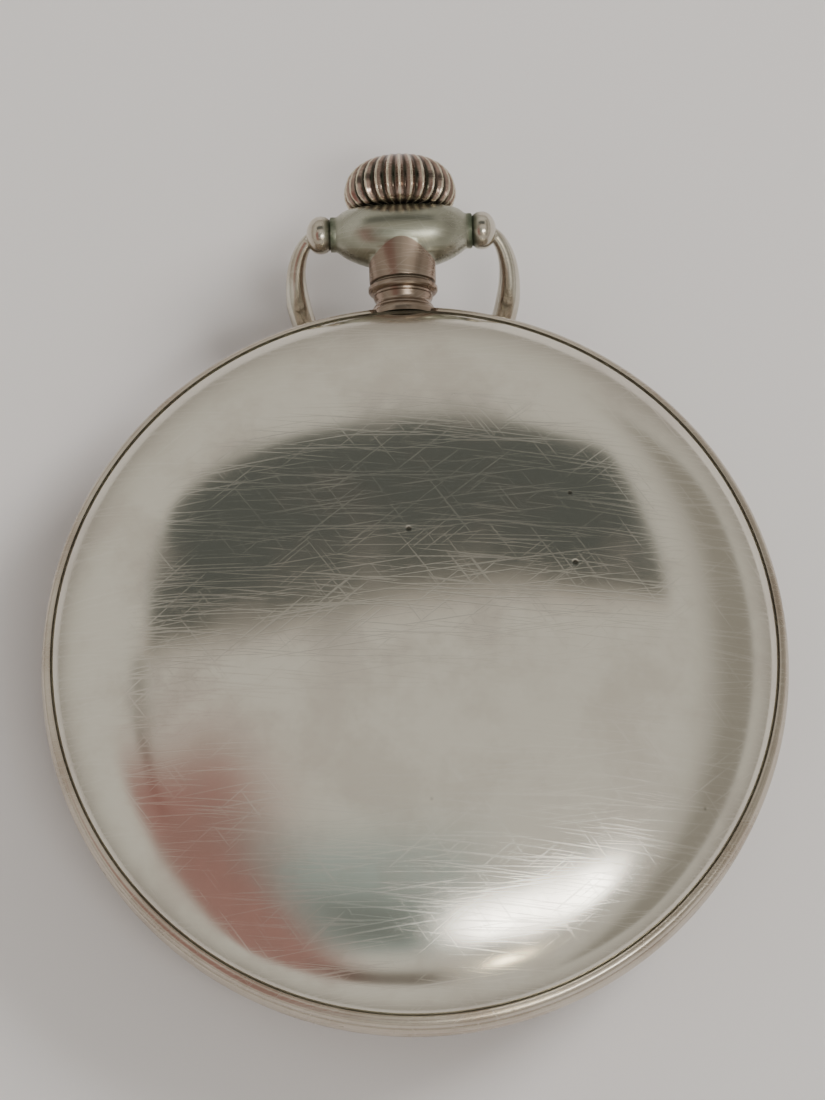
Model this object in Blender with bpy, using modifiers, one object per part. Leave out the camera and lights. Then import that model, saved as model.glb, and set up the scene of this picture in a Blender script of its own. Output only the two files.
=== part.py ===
"""Open face pocket watch, lying on its crystal with its domed back up.

+Z runs from the crystal to the back, +Y runs to the crown. The origin is the centre of the crystal's flat
face. Lengths below are in millimetres and are turned into metres by MM.
"""

from math import atan2, cos, degrees, hypot, pi, radians, sin, sqrt

import bmesh
import bpy
from mathutils import Matrix

MM = 0.001
MERGE = 0.000001
RING_STEPS = 48
SMALL_STEPS = 12

# Case
BACK_R = 24.3
BACK_Z = 10.0
BACK_RISE = 5.5
BACK_WALL = 0.55
BAND_BOTTOM = 5.65
PLATE_R = 20.6
CRYSTAL_FLAT_R = 11.5
CRYSTAL_R = 20.9
CRYSTAL_RISE = 2.4
CRYSTAL_WALL = 1.1

# Pendant, crown and bow
STEM_Z = 8.3
PIVOT_Y = 30.6
BOSS_FLAT_Y = 32.0
BOSS_HALF = 4.45
STEM_BORE_R = 1.3
CROWN_R = 3.83
CROWN_RIBS = 28
BOW_HALF_WIDTH = 7.3
BOW_LENGTH = 12.0
BOW_WIDEST = 3.4
BOW_FOLD = radians(38.0)
BALL_X = 5.5
BALL_HALF = 0.98
BALL_R = 1.3

# Levels of the movement
DIAL_Z = (4.4, 5.1)
PLATE_Z = (6.4, 8.0)
BRIDGE_Z = (10.9, 11.5)
TOP_WHEEL_Z = (11.6, 12.0)

# Tooth counts, and modules in millimetres
BARREL_TEETH, CENTRE_LEAVES, BARREL_MODULE = 60, 10, 0.276
CENTRE_TEETH, THIRD_LEAVES, CENTRE_MODULE = 64, 8, 0.2
THIRD_TEETH, FOURTH_LEAVES, THIRD_MODULE = 60, 8, 0.2
FOURTH_TEETH, ESCAPE_LEAVES, FOURTH_MODULE = 60, 6, 0.17
CANNON_LEAVES, MINUTE_TEETH, CANNON_MODULE = 10, 30, 0.2
MINUTE_LEAVES, HOUR_TEETH, MINUTE_MODULE = 8, 32, 0.2
RATCHET_TEETH, CROWN_WHEEL_TEETH = 40, 30
SETTING_TEETH, IDLER_TEETH = 18, 14
ESCAPE_TEETH = 15
ESCAPE_R = 3.4


def polar(radius, angle, centre=(0.0, 0.0)):
    """A point at a radius and an angle, in degrees, from a centre."""
    return (centre[0] + radius * cos(radians(angle)), centre[1] + radius * sin(radians(angle)))


def direction(start, end):
    """The angle, in degrees, of the line from one centre to another."""
    return degrees(atan2(end[1] - start[1], end[0] - start[0]))


def reach(teeth_a, teeth_b, module):
    """The distance between the centres of two meshed wheels."""
    return module * (teeth_a + teeth_b) / 2


# Centres of the movement, in plan
CENTRE = (0.0, 0.0)
BARREL = polar(reach(BARREL_TEETH, CENTRE_LEAVES, BARREL_MODULE), 135.0)
THIRD_ANGLE = -50.0
THIRD = polar(reach(CENTRE_TEETH, THIRD_LEAVES, CENTRE_MODULE), THIRD_ANGLE)
FOURTH_DROP = sqrt(reach(THIRD_TEETH, FOURTH_LEAVES, THIRD_MODULE) ** 2 - THIRD[0] ** 2)
FOURTH = (0.0, THIRD[1] - FOURTH_DROP)
ESCAPE_ANGLE = 209.0
ESCAPE = polar(reach(FOURTH_TEETH, ESCAPE_LEAVES, FOURTH_MODULE), ESCAPE_ANGLE, FOURTH)
LEVER_ANGLE = 135.0
PALLET = polar(4.35, LEVER_ANGLE, ESCAPE)
BALANCE = polar(3.9, LEVER_ANGLE, PALLET)
BALANCE_R = 6.0
CROWN_WHEEL = (3.4, 13.5)
CANNON_ANGLE = 60.0
MINUTE = polar(reach(CANNON_LEAVES, MINUTE_TEETH, CANNON_MODULE), CANNON_ANGLE)
SETTING = polar(reach(MINUTE_TEETH, SETTING_TEETH, CANNON_MODULE), 96.0, MINUTE)
IDLER = polar(reach(SETTING_TEETH, IDLER_TEETH, CANNON_MODULE), 86.0, SETTING)
CASE_SCREWS = [polar(19.4, 20.0), polar(19.4, 250.0)]


# The scene, its collections and its materials
for old in list(bpy.data.objects):
    bpy.data.objects.remove(old, do_unlink=True)

parts = bpy.data.collections.new("open_face_pocket_watch")
cutters = bpy.data.collections.new("cutters")
bpy.context.scene.collection.children.link(parts)
bpy.context.scene.collection.children.link(cutters)


def make_material(name, colour, roughness, metallic):
    """A plain Principled material."""
    made = bpy.data.materials.new(name)
    made.use_nodes = True
    shader = made.node_tree.nodes["Principled BSDF"]
    shader.inputs["Base Color"].default_value = (*colour, 1.0)
    shader.inputs["Roughness"].default_value = roughness
    shader.inputs["Metallic"].default_value = metallic
    return made


NICKEL_SILVER = make_material("nickel_silver", (0.62, 0.60, 0.54), 0.2, 1.0)
WORN_COPPER = make_material("worn_copper", (0.48, 0.38, 0.33), 0.3, 1.0)
GLASS = make_material("glass", (0.9, 0.93, 0.93), 0.02, 0.0)
ENAMEL = make_material("enamel", (0.9, 0.89, 0.85), 0.15, 0.0)
GILT_BRASS = make_material("gilt_brass", (0.78, 0.58, 0.28), 0.3, 1.0)
RHODIUM = make_material("rhodium_nickel", (0.66, 0.65, 0.62), 0.28, 1.0)
STEEL = make_material("polished_steel", (0.55, 0.56, 0.58), 0.18, 1.0)
BLUED_STEEL = make_material("blued_steel", (0.05, 0.09, 0.32), 0.22, 1.0)
RUBY = make_material("ruby", (0.55, 0.03, 0.08), 0.08, 0.0)


# Shared shaping steps
def place(mesh, name, material, location=(0.0, 0.0, 0.0), turn=(0.0, 0.0, 0.0)):
    """A named object of a mesh, at a place in millimetres."""
    piece = bpy.data.objects.new(name, mesh)
    parts.objects.link(piece)
    piece.location = [value * MM for value in location]
    piece.rotation_euler = turn
    mesh.materials.append(material)
    return piece


def turned(name, profile, material, centre=(0.0, 0.0), ring=False, steps=RING_STEPS, along="Z"):
    """A turned piece. The profile of (radius, height) points runs down its outer side."""
    mesh = bpy.data.meshes.new(name)
    shape = bmesh.new()
    points = [shape.verts.new((r * MM, 0.0, h * MM)) for r, h in profile]
    pairs = list(zip(points, points[1:]))
    if ring:
        pairs.append((points[-1], points[0]))
    for pair in pairs:
        shape.edges.new(pair)
    shape.to_mesh(mesh)
    shape.free()
    if along == "Y":
        piece = place(mesh, name, material, (centre[0], 0.0, centre[1]), (-pi / 2, 0.0, 0.0))
    elif along == "X":
        piece = place(mesh, name, material, (0.0, centre[0], centre[1]), (0.0, pi / 2, 0.0))
    else:
        piece = place(mesh, name, material, (centre[0], centre[1], 0.0))
    screw = piece.modifiers.new("turn", "SCREW")
    screw.steps = steps
    screw.render_steps = steps
    screw.use_merge_vertices = True
    screw.merge_threshold = MERGE
    return piece


def fluted(piece, ribs, depth, inner_r):
    """Sinks every second line of points on a turned piece, beyond an inner radius, to leave ribs."""
    piece = as_mesh(piece)
    for vertex in piece.data.vertices:
        radius = hypot(vertex.co.x, vertex.co.y)
        share = (ribs * atan2(vertex.co.y, vertex.co.x) / (2 * pi) + 0.001) % 1.0
        if radius > inner_r * MM and 0.25 < share < 0.75:
            vertex.co.x *= 1 - depth * MM / radius
            vertex.co.y *= 1 - depth * MM / radius
    return piece


def as_mesh(source):
    """The evaluated shape of an object as a plain mesh object with the same name and place."""
    bpy.context.view_layer.update()
    evaluated = source.evaluated_get(bpy.context.evaluated_depsgraph_get())
    mesh = bpy.data.meshes.new_from_object(evaluated)
    shape = bmesh.new()
    shape.from_mesh(mesh)
    bmesh.ops.remove_doubles(shape, verts=shape.verts, dist=MERGE)
    bmesh.ops.recalc_face_normals(shape, faces=shape.faces)
    shape.to_mesh(mesh)
    shape.free()
    name = source.name
    where = source.matrix_world.copy()
    bpy.data.objects.remove(source, do_unlink=True)
    piece = bpy.data.objects.new(name, mesh)
    parts.objects.link(piece)
    piece.matrix_world = where
    return piece


def flat(name, outline, levels, material, centre=(0.0, 0.0), holes=()):
    """A flat piece cut from sheet, between two levels, with round or shaped holes."""
    curve = bpy.data.curves.new(name, "CURVE")
    curve.dimensions = "2D"
    curve.fill_mode = "BOTH"
    curve.extrude = (levels[1] - levels[0]) / 2 * MM
    for loop in (outline, *holes):
        spline = curve.splines.new("POLY")
        spline.points.add(len(loop) - 1)
        spline.use_cyclic_u = True
        for point, (x, y) in zip(spline.points, loop):
            point.co = (x * MM, y * MM, 0.0, 1.0)
    piece = bpy.data.objects.new(name, curve)
    parts.objects.link(piece)
    piece.location = (centre[0] * MM, centre[1] * MM, (levels[0] + levels[1]) / 2 * MM)
    curve.materials.append(material)
    return as_mesh(piece)


def wire(name, route, radii, material, sides=2):
    """A bent wire with a radius at each point of its route."""
    curve = bpy.data.curves.new(name, "CURVE")
    curve.dimensions = "3D"
    curve.bevel_depth = MM
    curve.bevel_resolution = sides
    curve.use_fill_caps = True
    spline = curve.splines.new("POLY")
    spline.points.add(len(route) - 1)
    for point, where, radius in zip(spline.points, route, radii):
        point.co = (where[0] * MM, where[1] * MM, where[2] * MM, 1.0)
        point.radius = radius
    piece = bpy.data.objects.new(name, curve)
    parts.objects.link(piece)
    curve.materials.append(material)
    return as_mesh(piece)


def change(piece, operation, others):
    """Joins other solids to a piece, or cuts it with them."""
    for number, other in enumerate(others):
        step = piece.modifiers.new(f"{operation.lower()}_{number}", "BOOLEAN")
        step.operation = operation
        step.object = other
        step.solver = "EXACT"
        parts.objects.unlink(other)
        cutters.objects.link(other)
        other.hide_render = True
        other.display_type = "WIRE"
    return piece


def circle(radius, centre=(0.0, 0.0), steps=SMALL_STEPS):
    """A round outline."""
    return [polar(radius, 360.0 * k / steps, centre) for k in range(steps)]


def arc(radius, start, end, steps, centre=(0.0, 0.0)):
    """Points along an arc, both ends included."""
    return [polar(radius, start + (end - start) * k / steps, centre) for k in range(steps + 1)]


def gear(teeth, module, facing, addendum=0.8, dedendum=1.4):
    """A toothed outline with one tooth centred on the facing angle and a point at each gap's foot."""
    pitch_r = teeth * module / 2
    step = 360.0 / teeth
    loop = []
    for k in range(teeth):
        middle = facing + k * step
        loop.append(polar(pitch_r - dedendum * module, middle - 0.5 * step))
        loop.append(polar(pitch_r + addendum * module, middle - 0.06 * step))
        loop.append(polar(pitch_r + addendum * module, middle + 0.06 * step))
    return loop


def crossings(inner, outer, arms, arm_width):
    """The openings between a wheel's arms."""
    openings = []
    for k in range(arms):
        middle = 360.0 * (k + 0.5) / arms
        outer_half = 180.0 / arms - arm_width / outer * 90.0 / pi
        inner_half = 180.0 / arms - arm_width / inner * 90.0 / pi
        loop = arc(outer, middle - outer_half, middle + outer_half, 4)
        loop += arc(inner, middle + inner_half, middle - inner_half, 1)
        openings.append(loop)
    return openings


def rod(name, radius, levels, material, centre=(0.0, 0.0), steps=SMALL_STEPS, along="Z"):
    """A plain round bar between two levels."""
    profile = [(0.0, levels[1]), (radius, levels[1]), (radius, levels[0]), (0.0, levels[0])]
    return turned(name, profile, material, centre, steps=steps, along=along)


def block(name, low, high, material):
    """A plain box between two corners."""
    mesh = bpy.data.meshes.new(name)
    shape = bmesh.new()
    bmesh.ops.create_cube(shape, size=MM)
    size = [b - a for a, b in zip(low, high)]
    middle = [(a + b) / 2 for a, b in zip(low, high)]
    bmesh.ops.transform(shape, matrix=Matrix.Diagonal((*size, 1.0)), verts=shape.verts)
    shape.to_mesh(mesh)
    shape.free()
    return place(mesh, name, material, middle)


def screw(name, centre, top, length, head_r=0.95, shank_r=0.45, head=0.45):
    """A slotted screw, standing head up, with the top of its head at a level."""
    profile = [(0.0, top), (head_r, top), (head_r, top - head)]
    profile += [(shank_r, top - head), (shank_r, top - length), (0.0, top - length)]
    piece = turned(name, profile, BLUED_STEEL, centre, steps=8)
    low = (centre[0] - head_r - 0.1, centre[1] - 0.12, top - 0.2)
    high = (centre[0] + head_r + 0.1, centre[1] + 0.12, top + 0.2)
    return change(piece, "DIFFERENCE", [block(name + "_slot", low, high, BLUED_STEEL)])


# Case
def dome_height(radius):
    """The height of the back cover's outer face at a radius."""
    return BACK_Z + BACK_RISE * (1 - (radius / BACK_R) ** 2.2) ** 0.588


def crystal_height(radius):
    """The height of the crystal's outer face, which is flat in the middle and curves up at its edge."""
    beyond = max(0.0, radius - CRYSTAL_FLAT_R)
    return CRYSTAL_RISE * (beyond / (CRYSTAL_R - CRYSTAL_FLAT_R)) ** 2


def make_back_cover():
    """The domed back, one shell with the lip that snaps into the case middle."""
    radii = [0.0, 7.0, 12.0, 16.0, 19.0, 21.2, 22.8, 23.8]
    outer = [(r, dome_height(r)) for r in radii]
    rim = [(BACK_R, BACK_Z + 0.35), (BACK_R, BACK_Z), (23.3, BACK_Z)]
    rim += [(23.2, 9.3), (22.75, 9.3), (22.75, 10.6)]
    inner = [(r, dome_height(r) - BACK_WALL) for r in (21.6, 18.6, 14.5, 8.5, 0.0)]
    turned("back_cover", outer + rim + inner, NICKEL_SILVER)


def make_case_middle():
    """The moulded band of the case, with the socket that the pendant stands in."""
    profile = [(23.4, 9.95), (24.3, 9.95), (24.7, 9.75), (24.95, 9.3), (25.0, 8.8), (24.85, 8.3), (25.0, 7.8)]
    profile += [(24.95, 7.0), (24.75, 6.2), (24.5, BAND_BOTTOM), (21.5, BAND_BOTTOM), (20.9, 6.0)]
    profile += [(20.9, 9.0), (23.4, 9.0)]
    band = turned("case_middle", profile, NICKEL_SILVER, ring=True)
    socket = rod("pendant_socket", 2.45, (24.4, 27.0), NICKEL_SILVER, (0.0, STEM_Z), 24, "Y")
    bore = rod("stem_bore", STEM_BORE_R, (19.0, 27.0), NICKEL_SILVER, (0.0, STEM_Z), SMALL_STEPS, "Y")
    change(band, "DIFFERENCE", [socket, bore])


def make_front():
    """The bezel and the crystal it holds."""
    profile = [(21.5, 5.6), (24.45, 5.6), (24.55, 5.3), (24.35, 4.9), (23.6, 4.15), (22.6, 3.4), (21.8, 2.9)]
    profile += [(21.3, 2.75), (21.0, 2.95), (21.0, 4.0), (20.7, 4.2), (20.7, 5.2), (21.5, 5.4)]
    turned("bezel", profile, NICKEL_SILVER, ring=True)
    outer = [(r, crystal_height(r)) for r in (CRYSTAL_R, 19.0, 16.6, 14.0, CRYSTAL_FLAT_R, 0.0)]
    inner = [(r, crystal_height(r) + CRYSTAL_WALL) for r in (0.0, CRYSTAL_FLAT_R, 15.0, 18.5, CRYSTAL_R)]
    turned("crystal", inner + outer, GLASS)


def make_pendant():
    """The neck and its cross boss, bored for the winding stem."""
    neck = [(0.0, 31.2), (2.43, 31.2), (2.43, 26.95), (2.25, 26.8), (2.43, 26.6), (2.43, 26.2), (2.2, 26.0)]
    neck += [(1.83, 25.75), (1.83, 25.5), (2.0, 25.1), (2.35, 24.75), (2.35, 24.45), (0.0, 24.45)]
    piece = turned("pendant", neck, WORN_COPPER, (0.0, STEM_Z), steps=28, along="Y")
    boss = [(0.0, BOSS_HALF), (1.2, BOSS_HALF), (1.3, 4.25), (1.75, 3.6)]
    boss += [(2.26, 2.4), (2.42, 1.2), (2.46, 0.0)]
    boss += [(r, -h) for r, h in reversed(boss[:-1])]
    spindle = turned("cross_boss", boss, WORN_COPPER, (PIVOT_Y, STEM_Z), steps=28, along="X")
    change(piece, "UNION", [spindle])
    flat_cut = block("flat_cut", (-6.0, BOSS_FLAT_Y, 4.0), (6.0, 36.0, 13.0), WORN_COPPER)
    bore = rod("neck_bore", STEM_BORE_R, (20.0, 36.0), WORN_COPPER, (0.0, STEM_Z), SMALL_STEPS, "Y")
    change(piece, "DIFFERENCE", [flat_cut, bore])
    sleeve = [(0.85, 30.0), (1.2, 30.0), (1.2, 23.5), (0.85, 23.5)]
    turned("pendant_sleeve", sleeve, STEEL, (0.0, STEM_Z), True, SMALL_STEPS, "Y")


def make_crown():
    """The fluted crown and the winding stem that it screws on."""
    profile = [(0.0, 35.85), (1.6, 35.75), (2.6, 35.4), (3.3, 34.8)]
    profile += [(3.72, 34.1), (CROWN_R, 33.4), (3.6, 32.7)]
    profile += [(3.1, 32.15), (0.75, 32.15), (0.75, 34.2), (0.0, 34.2)]
    crown = turned("crown", profile, WORN_COPPER, (0.0, STEM_Z), steps=CROWN_RIBS * 2, along="Y")
    fluted(crown, CROWN_RIBS, 0.22, 1.0)
    stem = [(0.0, 34.0), (0.65, 34.0), (0.65, 16.6), (0.5, 16.5), (0.5, 12.7), (0.0, 12.7)]
    turned("winding_stem", stem, STEEL, (0.0, STEM_Z), steps=12, along="Y")


def make_bow():
    """The bow, a drawn oval of tapering wire between two ball ends, folded towards the dial."""
    half = []
    for k in range(5):
        turn = radians(-90.0 + 22.5 * k)
        half.append((5.6 + (BOW_HALF_WIDTH - 5.6) * cos(turn), BOW_WIDEST * (1 + sin(turn))))
    for k in range(1, 9):
        turn = radians(90.0 * k / 8)
        half.append((BOW_HALF_WIDTH * cos(turn), BOW_WIDEST + (BOW_LENGTH - BOW_WIDEST) * sin(turn)))
    loop = half + [(-x, v) for x, v in reversed(half[:-1])]
    route = [(x, PIVOT_Y - v * cos(BOW_FOLD), STEM_Z - v * sin(BOW_FOLD)) for x, v in loop]
    radii = [0.42 + 0.41 * min(1.0, v / 5.0) for _, v in loop]
    bow = wire("bow", route, radii, NICKEL_SILVER)
    bow.data.transform(Matrix.Translation((0.0, -PIVOT_Y * MM, -STEM_Z * MM)))
    bow.location = (0.0, PIVOT_Y * MM, STEM_Z * MM)
    balls = []
    for side in (-1, 1):
        mesh = bpy.data.meshes.new("ball")
        shape = bmesh.new()
        bmesh.ops.create_uvsphere(shape, u_segments=12, v_segments=8, radius=1.0)
        size = Matrix.Diagonal((BALL_HALF * MM, BALL_R * MM, BALL_R * MM, 1.0))
        bmesh.ops.transform(shape, matrix=size, verts=shape.verts)
        shape.to_mesh(mesh)
        shape.free()
        balls.append(place(mesh, f"bow_ball_{side}", NICKEL_SILVER, (side * BALL_X, PIVOT_Y, STEM_Z)))
    change(bow, "UNION", balls)


# Dial side
def make_hand(name, centre, levels, length, width, hub_r, bore_r, points_to, tail=0.0):
    """A flat hand that points at an angle, with a tapered blade and a round hub."""
    blade = [(length, 0.0), (length * 0.72, width), (hub_r * 0.8, width * 0.55)]
    blade += [polar(hub_r, angle) for angle in (45, 75, 105, 135)]
    if tail:
        blade += [(-tail, width * 0.6), (-tail, -width * 0.6)]
    else:
        blade.append((-hub_r, 0.0))
    blade += [polar(hub_r, angle) for angle in (225, 255, 285, 315)]
    blade += [(hub_r * 0.8, -width * 0.55), (length * 0.72, -width)]
    turn = radians(points_to)
    outline = [(x * cos(turn) - y * sin(turn), x * sin(turn) + y * cos(turn)) for x, y in blade]
    flat(name, outline, levels, BLUED_STEEL, centre, [circle(bore_r, steps=10)])


def make_dial_side():
    """The dial, its hands and the motion work behind it."""
    holes = [circle(1.35), circle(0.5, FOURTH, 10)]
    flat("dial", circle(20.4, steps=RING_STEPS), DIAL_Z, ENAMEL, holes=holes)
    make_hand("hour_hand", CENTRE, (3.7, 3.9), 10.0, 0.8, 1.3, 1.05, 145.0)
    make_hand("minute_hand", CENTRE, (3.0, 3.2), 16.0, 0.6, 1.1, 0.62, 30.0)
    make_hand("seconds_hand", FOURTH, (3.9, 4.05), 3.6, 0.16, 0.45, 0.22, 250.0, 1.3)
    cannon = [(0.32, 6.2), (0.58, 6.2), (0.58, 2.8), (0.32, 2.8)]
    pipe = turned("cannon_pinion", cannon, STEEL, CENTRE, True, 12)
    rim = gear(CANNON_LEAVES, CANNON_MODULE, CANNON_ANGLE)
    leaves = flat("cannon_leaves", rim, (5.75, 6.2), STEEL, holes=[circle(0.32, steps=12)])
    change(pipe, "UNION", [leaves])
    facing = 240.0 + 180.0 / MINUTE_TEETH
    wheel = flat("minute_wheel", gear(MINUTE_TEETH, CANNON_MODULE, facing), (5.8, 6.05), GILT_BRASS, MINUTE)
    pinion = flat("minute_leaves", gear(MINUTE_LEAVES, MINUTE_MODULE, 240.0), (5.25, 5.9), STEEL, MINUTE)
    change(wheel, "UNION", [pinion])
    facing = 60.0 + 180.0 / HOUR_TEETH
    bore = circle(0.72, steps=12)
    hour = flat("hour_wheel", gear(HOUR_TEETH, MINUTE_MODULE, facing), (5.3, 5.55), GILT_BRASS, holes=[bore])
    wall = [(0.72, 5.5), (1.0, 5.5), (1.0, 3.6), (0.72, 3.6)]
    pipe = turned("hour_pipe", wall, GILT_BRASS, CENTRE, True, 12)
    change(hour, "UNION", [pipe])
    rim = gear(SETTING_TEETH, CANNON_MODULE, 276.0)
    flat("setting_wheel", rim, (5.8, 6.05), STEEL, SETTING, [circle(0.4, steps=8)])
    rim = gear(IDLER_TEETH, CANNON_MODULE, 266.0)
    flat("intermediate_wheel", rim, (5.8, 6.05), STEEL, IDLER, [circle(0.4, steps=8)])


# Frame of the movement
FEET = {
    "barrel_bridge": [polar(17.6, 103.0), polar(17.9, 165.0), (9.4, 2.0)],
    "train_bridge": [(3.0, -16.9), (14.8, -6.5)],
    "balance_cock": [polar(18.2, 187.0)],
    "pallet_bridge": [(-10.9, -13.4)],
}


def make_main_plate():
    """The main plate, cut away for the stem, the winding pinion and the clutch wheel."""
    holes = [circle(0.8, steps=12), circle(0.35, FOURTH, 8)]
    holes += [circle(0.5, place_at, 10) for place_at in CASE_SCREWS]
    plate = flat("main_plate", circle(PLATE_R, steps=RING_STEPS), PLATE_Z, RHODIUM, holes=holes)
    pinion_slot = block("pinion_slot", (-2.7, 16.0, 5.0), (2.7, 18.9, 9.0), RHODIUM)
    clutch_slot = block("clutch_slot", (-1.9, 12.9, 5.0), (1.9, 16.6, 9.0), RHODIUM)
    stem_slot = block("stem_slot", (-0.75, 12.2, 7.4), (0.75, 22.0, 9.0), RHODIUM)
    change(plate, "DIFFERENCE", [pinion_slot, clutch_slot, stem_slot])


def make_bridge(name, outline, levels, foot_r=1.25, head=0.45):
    """A bridge standing on its feet on the main plate, drilled through each foot for a screw."""
    bridge = flat(name, outline, levels, RHODIUM)
    feet = [
        rod(f"{name}_foot_{k}", foot_r, (PLATE_Z[1] + 0.03, levels[0] + 0.3), RHODIUM, foot)
        for k, foot in enumerate(FEET[name])
    ]
    change(bridge, "UNION", feet)
    holes = []
    for k, foot in enumerate(FEET[name]):
        holes.append(rod(f"{name}_hole_{k}", 0.5, (5.0, 14.0), RHODIUM, foot, 10))
    change(bridge, "DIFFERENCE", holes)
    for k, foot in enumerate(FEET[name]):
        length = min(2.6, levels[1] - PLATE_Z[1] + 0.2)
        screw(f"{name}_screw_{k + 1}", foot, levels[1] + 0.04 + head, length, head=head)
    return bridge


def arm(foot, foot_r, end, end_r):
    """The outline of a cock, from its foot to the pivot that it holds."""
    along = direction(foot, end)
    return arc(foot_r, along + 90.0, along + 270.0, 7, foot) + arc(end_r, along - 90.0, along + 90.0, 7, end)


def make_frame():
    """The bridges over the barrel, the train, the balance and the pallets."""
    outline = [(11.2, 3.7), (11.2, 0.4), (3.0, -2.2), (-2.0, -2.4)]
    outline += [(-7.0, -1.2), (-12.5, 0.8), (-18.2, 2.6)]
    outline += arc(18.9, 170.0, 99.0, 10)
    outline += [(-2.7, 14.5), (-2.2, 11.0), (0.5, 8.0), (4.0, 7.3), (8.0, 6.2)]
    bridge = make_bridge("barrel_bridge", outline, BRIDGE_Z)
    hole = rod("barrel_pivot_hole", 1.25, (5.0, 14.0), RHODIUM, BARREL)
    change(bridge, "DIFFERENCE", [hole])
    outline = [(17.5, -2.4), (13.0, -1.4), (4.6, -3.4), (1.5, -6.5)]
    outline += [(-2.0, -9.3), (-7.2, -12.0), (-7.0, -14.6)]
    outline += arc(18.9, 248.0, 348.0, 12)
    make_bridge("train_bridge", outline, BRIDGE_Z)
    foot = FEET["balance_cock"][0]
    make_bridge("balance_cock", arm(foot, 1.5, BALANCE, 2.3), BRIDGE_Z)
    make_bridge("pallet_bridge", arm(FEET["pallet_bridge"][0], 1.1, PALLET, 0.9), (8.75, 9.1), 1.0, 0.3)


# Power
def make_barrel():
    """The going barrel, its cover, its arbor and the mainspring."""
    facing = 135.0 + 180.0
    rim = gear(BARREL_TEETH, BARREL_MODULE, facing)
    drum = flat("barrel_drum", rim, (8.7, 9.2), GILT_BRASS, BARREL, [circle(1.15, steps=10)])
    shell = [(7.3, 10.3), (7.6, 10.3), (7.6, 8.95), (7.3, 8.95)]
    change(drum, "UNION", [turned("barrel_wall", shell, GILT_BRASS, BARREL, True, 30)])
    flat("barrel_cover", circle(7.65, steps=30), (10.35, 10.6), GILT_BRASS, BARREL, [circle(1.1, steps=12)])
    arbor = [(0.0, 12.1), (1.0, 12.1), (1.0, 10.75), (1.0, 8.3), (0.0, 8.3)]
    turned("barrel_arbor", arbor, STEEL, BARREL, steps=12)
    ribbon("mainspring", BARREL, 1.6, 6.6, 3, 14, 0.22, (9.35, 10.2), STEEL)


def ribbon(name, centre, inner, outer, turns, steps, thickness, levels, material, start=0.0):
    """A spiral strip that grows evenly from an inner to an outer radius."""
    count = turns * steps
    outside = []
    inside = []
    for k in range(count + 1):
        radius = inner + (outer - inner) * k / count
        angle = start + 360.0 * k / steps
        outside.append(polar(radius + thickness / 2, angle))
        inside.append(polar(radius - thickness / 2, angle))
    flat(name, outside + list(reversed(inside)), levels, material, centre)


def make_winding():
    """The ratchet wheel, crown wheel and click on top, and the keyless work on the stem."""
    distance = hypot(CROWN_WHEEL[0] - BARREL[0], CROWN_WHEEL[1] - BARREL[1])
    module = 2 * distance / (RATCHET_TEETH + CROWN_WHEEL_TEETH)
    facing = direction(BARREL, CROWN_WHEEL)
    ratchet = gear(RATCHET_TEETH, module, facing)
    flat("ratchet_wheel", ratchet, TOP_WHEEL_Z, STEEL, BARREL, [circle(1.05, steps=12)])
    rim = gear(CROWN_WHEEL_TEETH, module, facing + 180.0 + 180.0 / CROWN_WHEEL_TEETH)
    wheel = flat("crown_wheel", rim, TOP_WHEEL_Z, STEEL, CROWN_WHEEL, [circle(1.3, steps=12)])
    skirt = [(4.2, 11.7), (4.75, 11.7), (4.75, 10.95), (4.2, 10.95)]
    change(wheel, "UNION", [turned("crown_wheel_skirt", skirt, STEEL, CROWN_WHEEL, True, 30)])
    post = [(0.0, 12.05), (1.1, 12.05), (1.1, 8.03), (0.0, 8.03)]
    post_piece = turned("crown_wheel_post", post, STEEL, CROWN_WHEEL, steps=SMALL_STEPS)
    change(post_piece, "DIFFERENCE", [rod("post_hole", 0.55, (9.0, 13.0), STEEL, CROWN_WHEEL, 10)])
    screw("crown_wheel_screw", CROWN_WHEEL, 12.55, 2.4, 1.9)
    screw("ratchet_screw", BARREL, 12.65, 0.5, 1.6, 1.5)
    tip = polar(7.25, 228.0, BARREL)
    pivot = polar(9.3, 205.0, BARREL)
    beak = [(tip[0] - pivot[0], tip[1] - pivot[1])]
    beak += [polar(0.75, angle) for angle in (20, 60, 110, 160, 210, 250)]
    flat("click", beak, TOP_WHEEL_Z, STEEL, pivot, [circle(0.3, steps=8)])
    spring_route = arc(10.9, 208.0, 232.0, 8, BARREL)
    spring_back = arc(10.6, 232.0, 208.0, 8, BARREL)
    flat("click_spring", spring_route + spring_back, TOP_WHEEL_Z, BLUED_STEEL)


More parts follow.
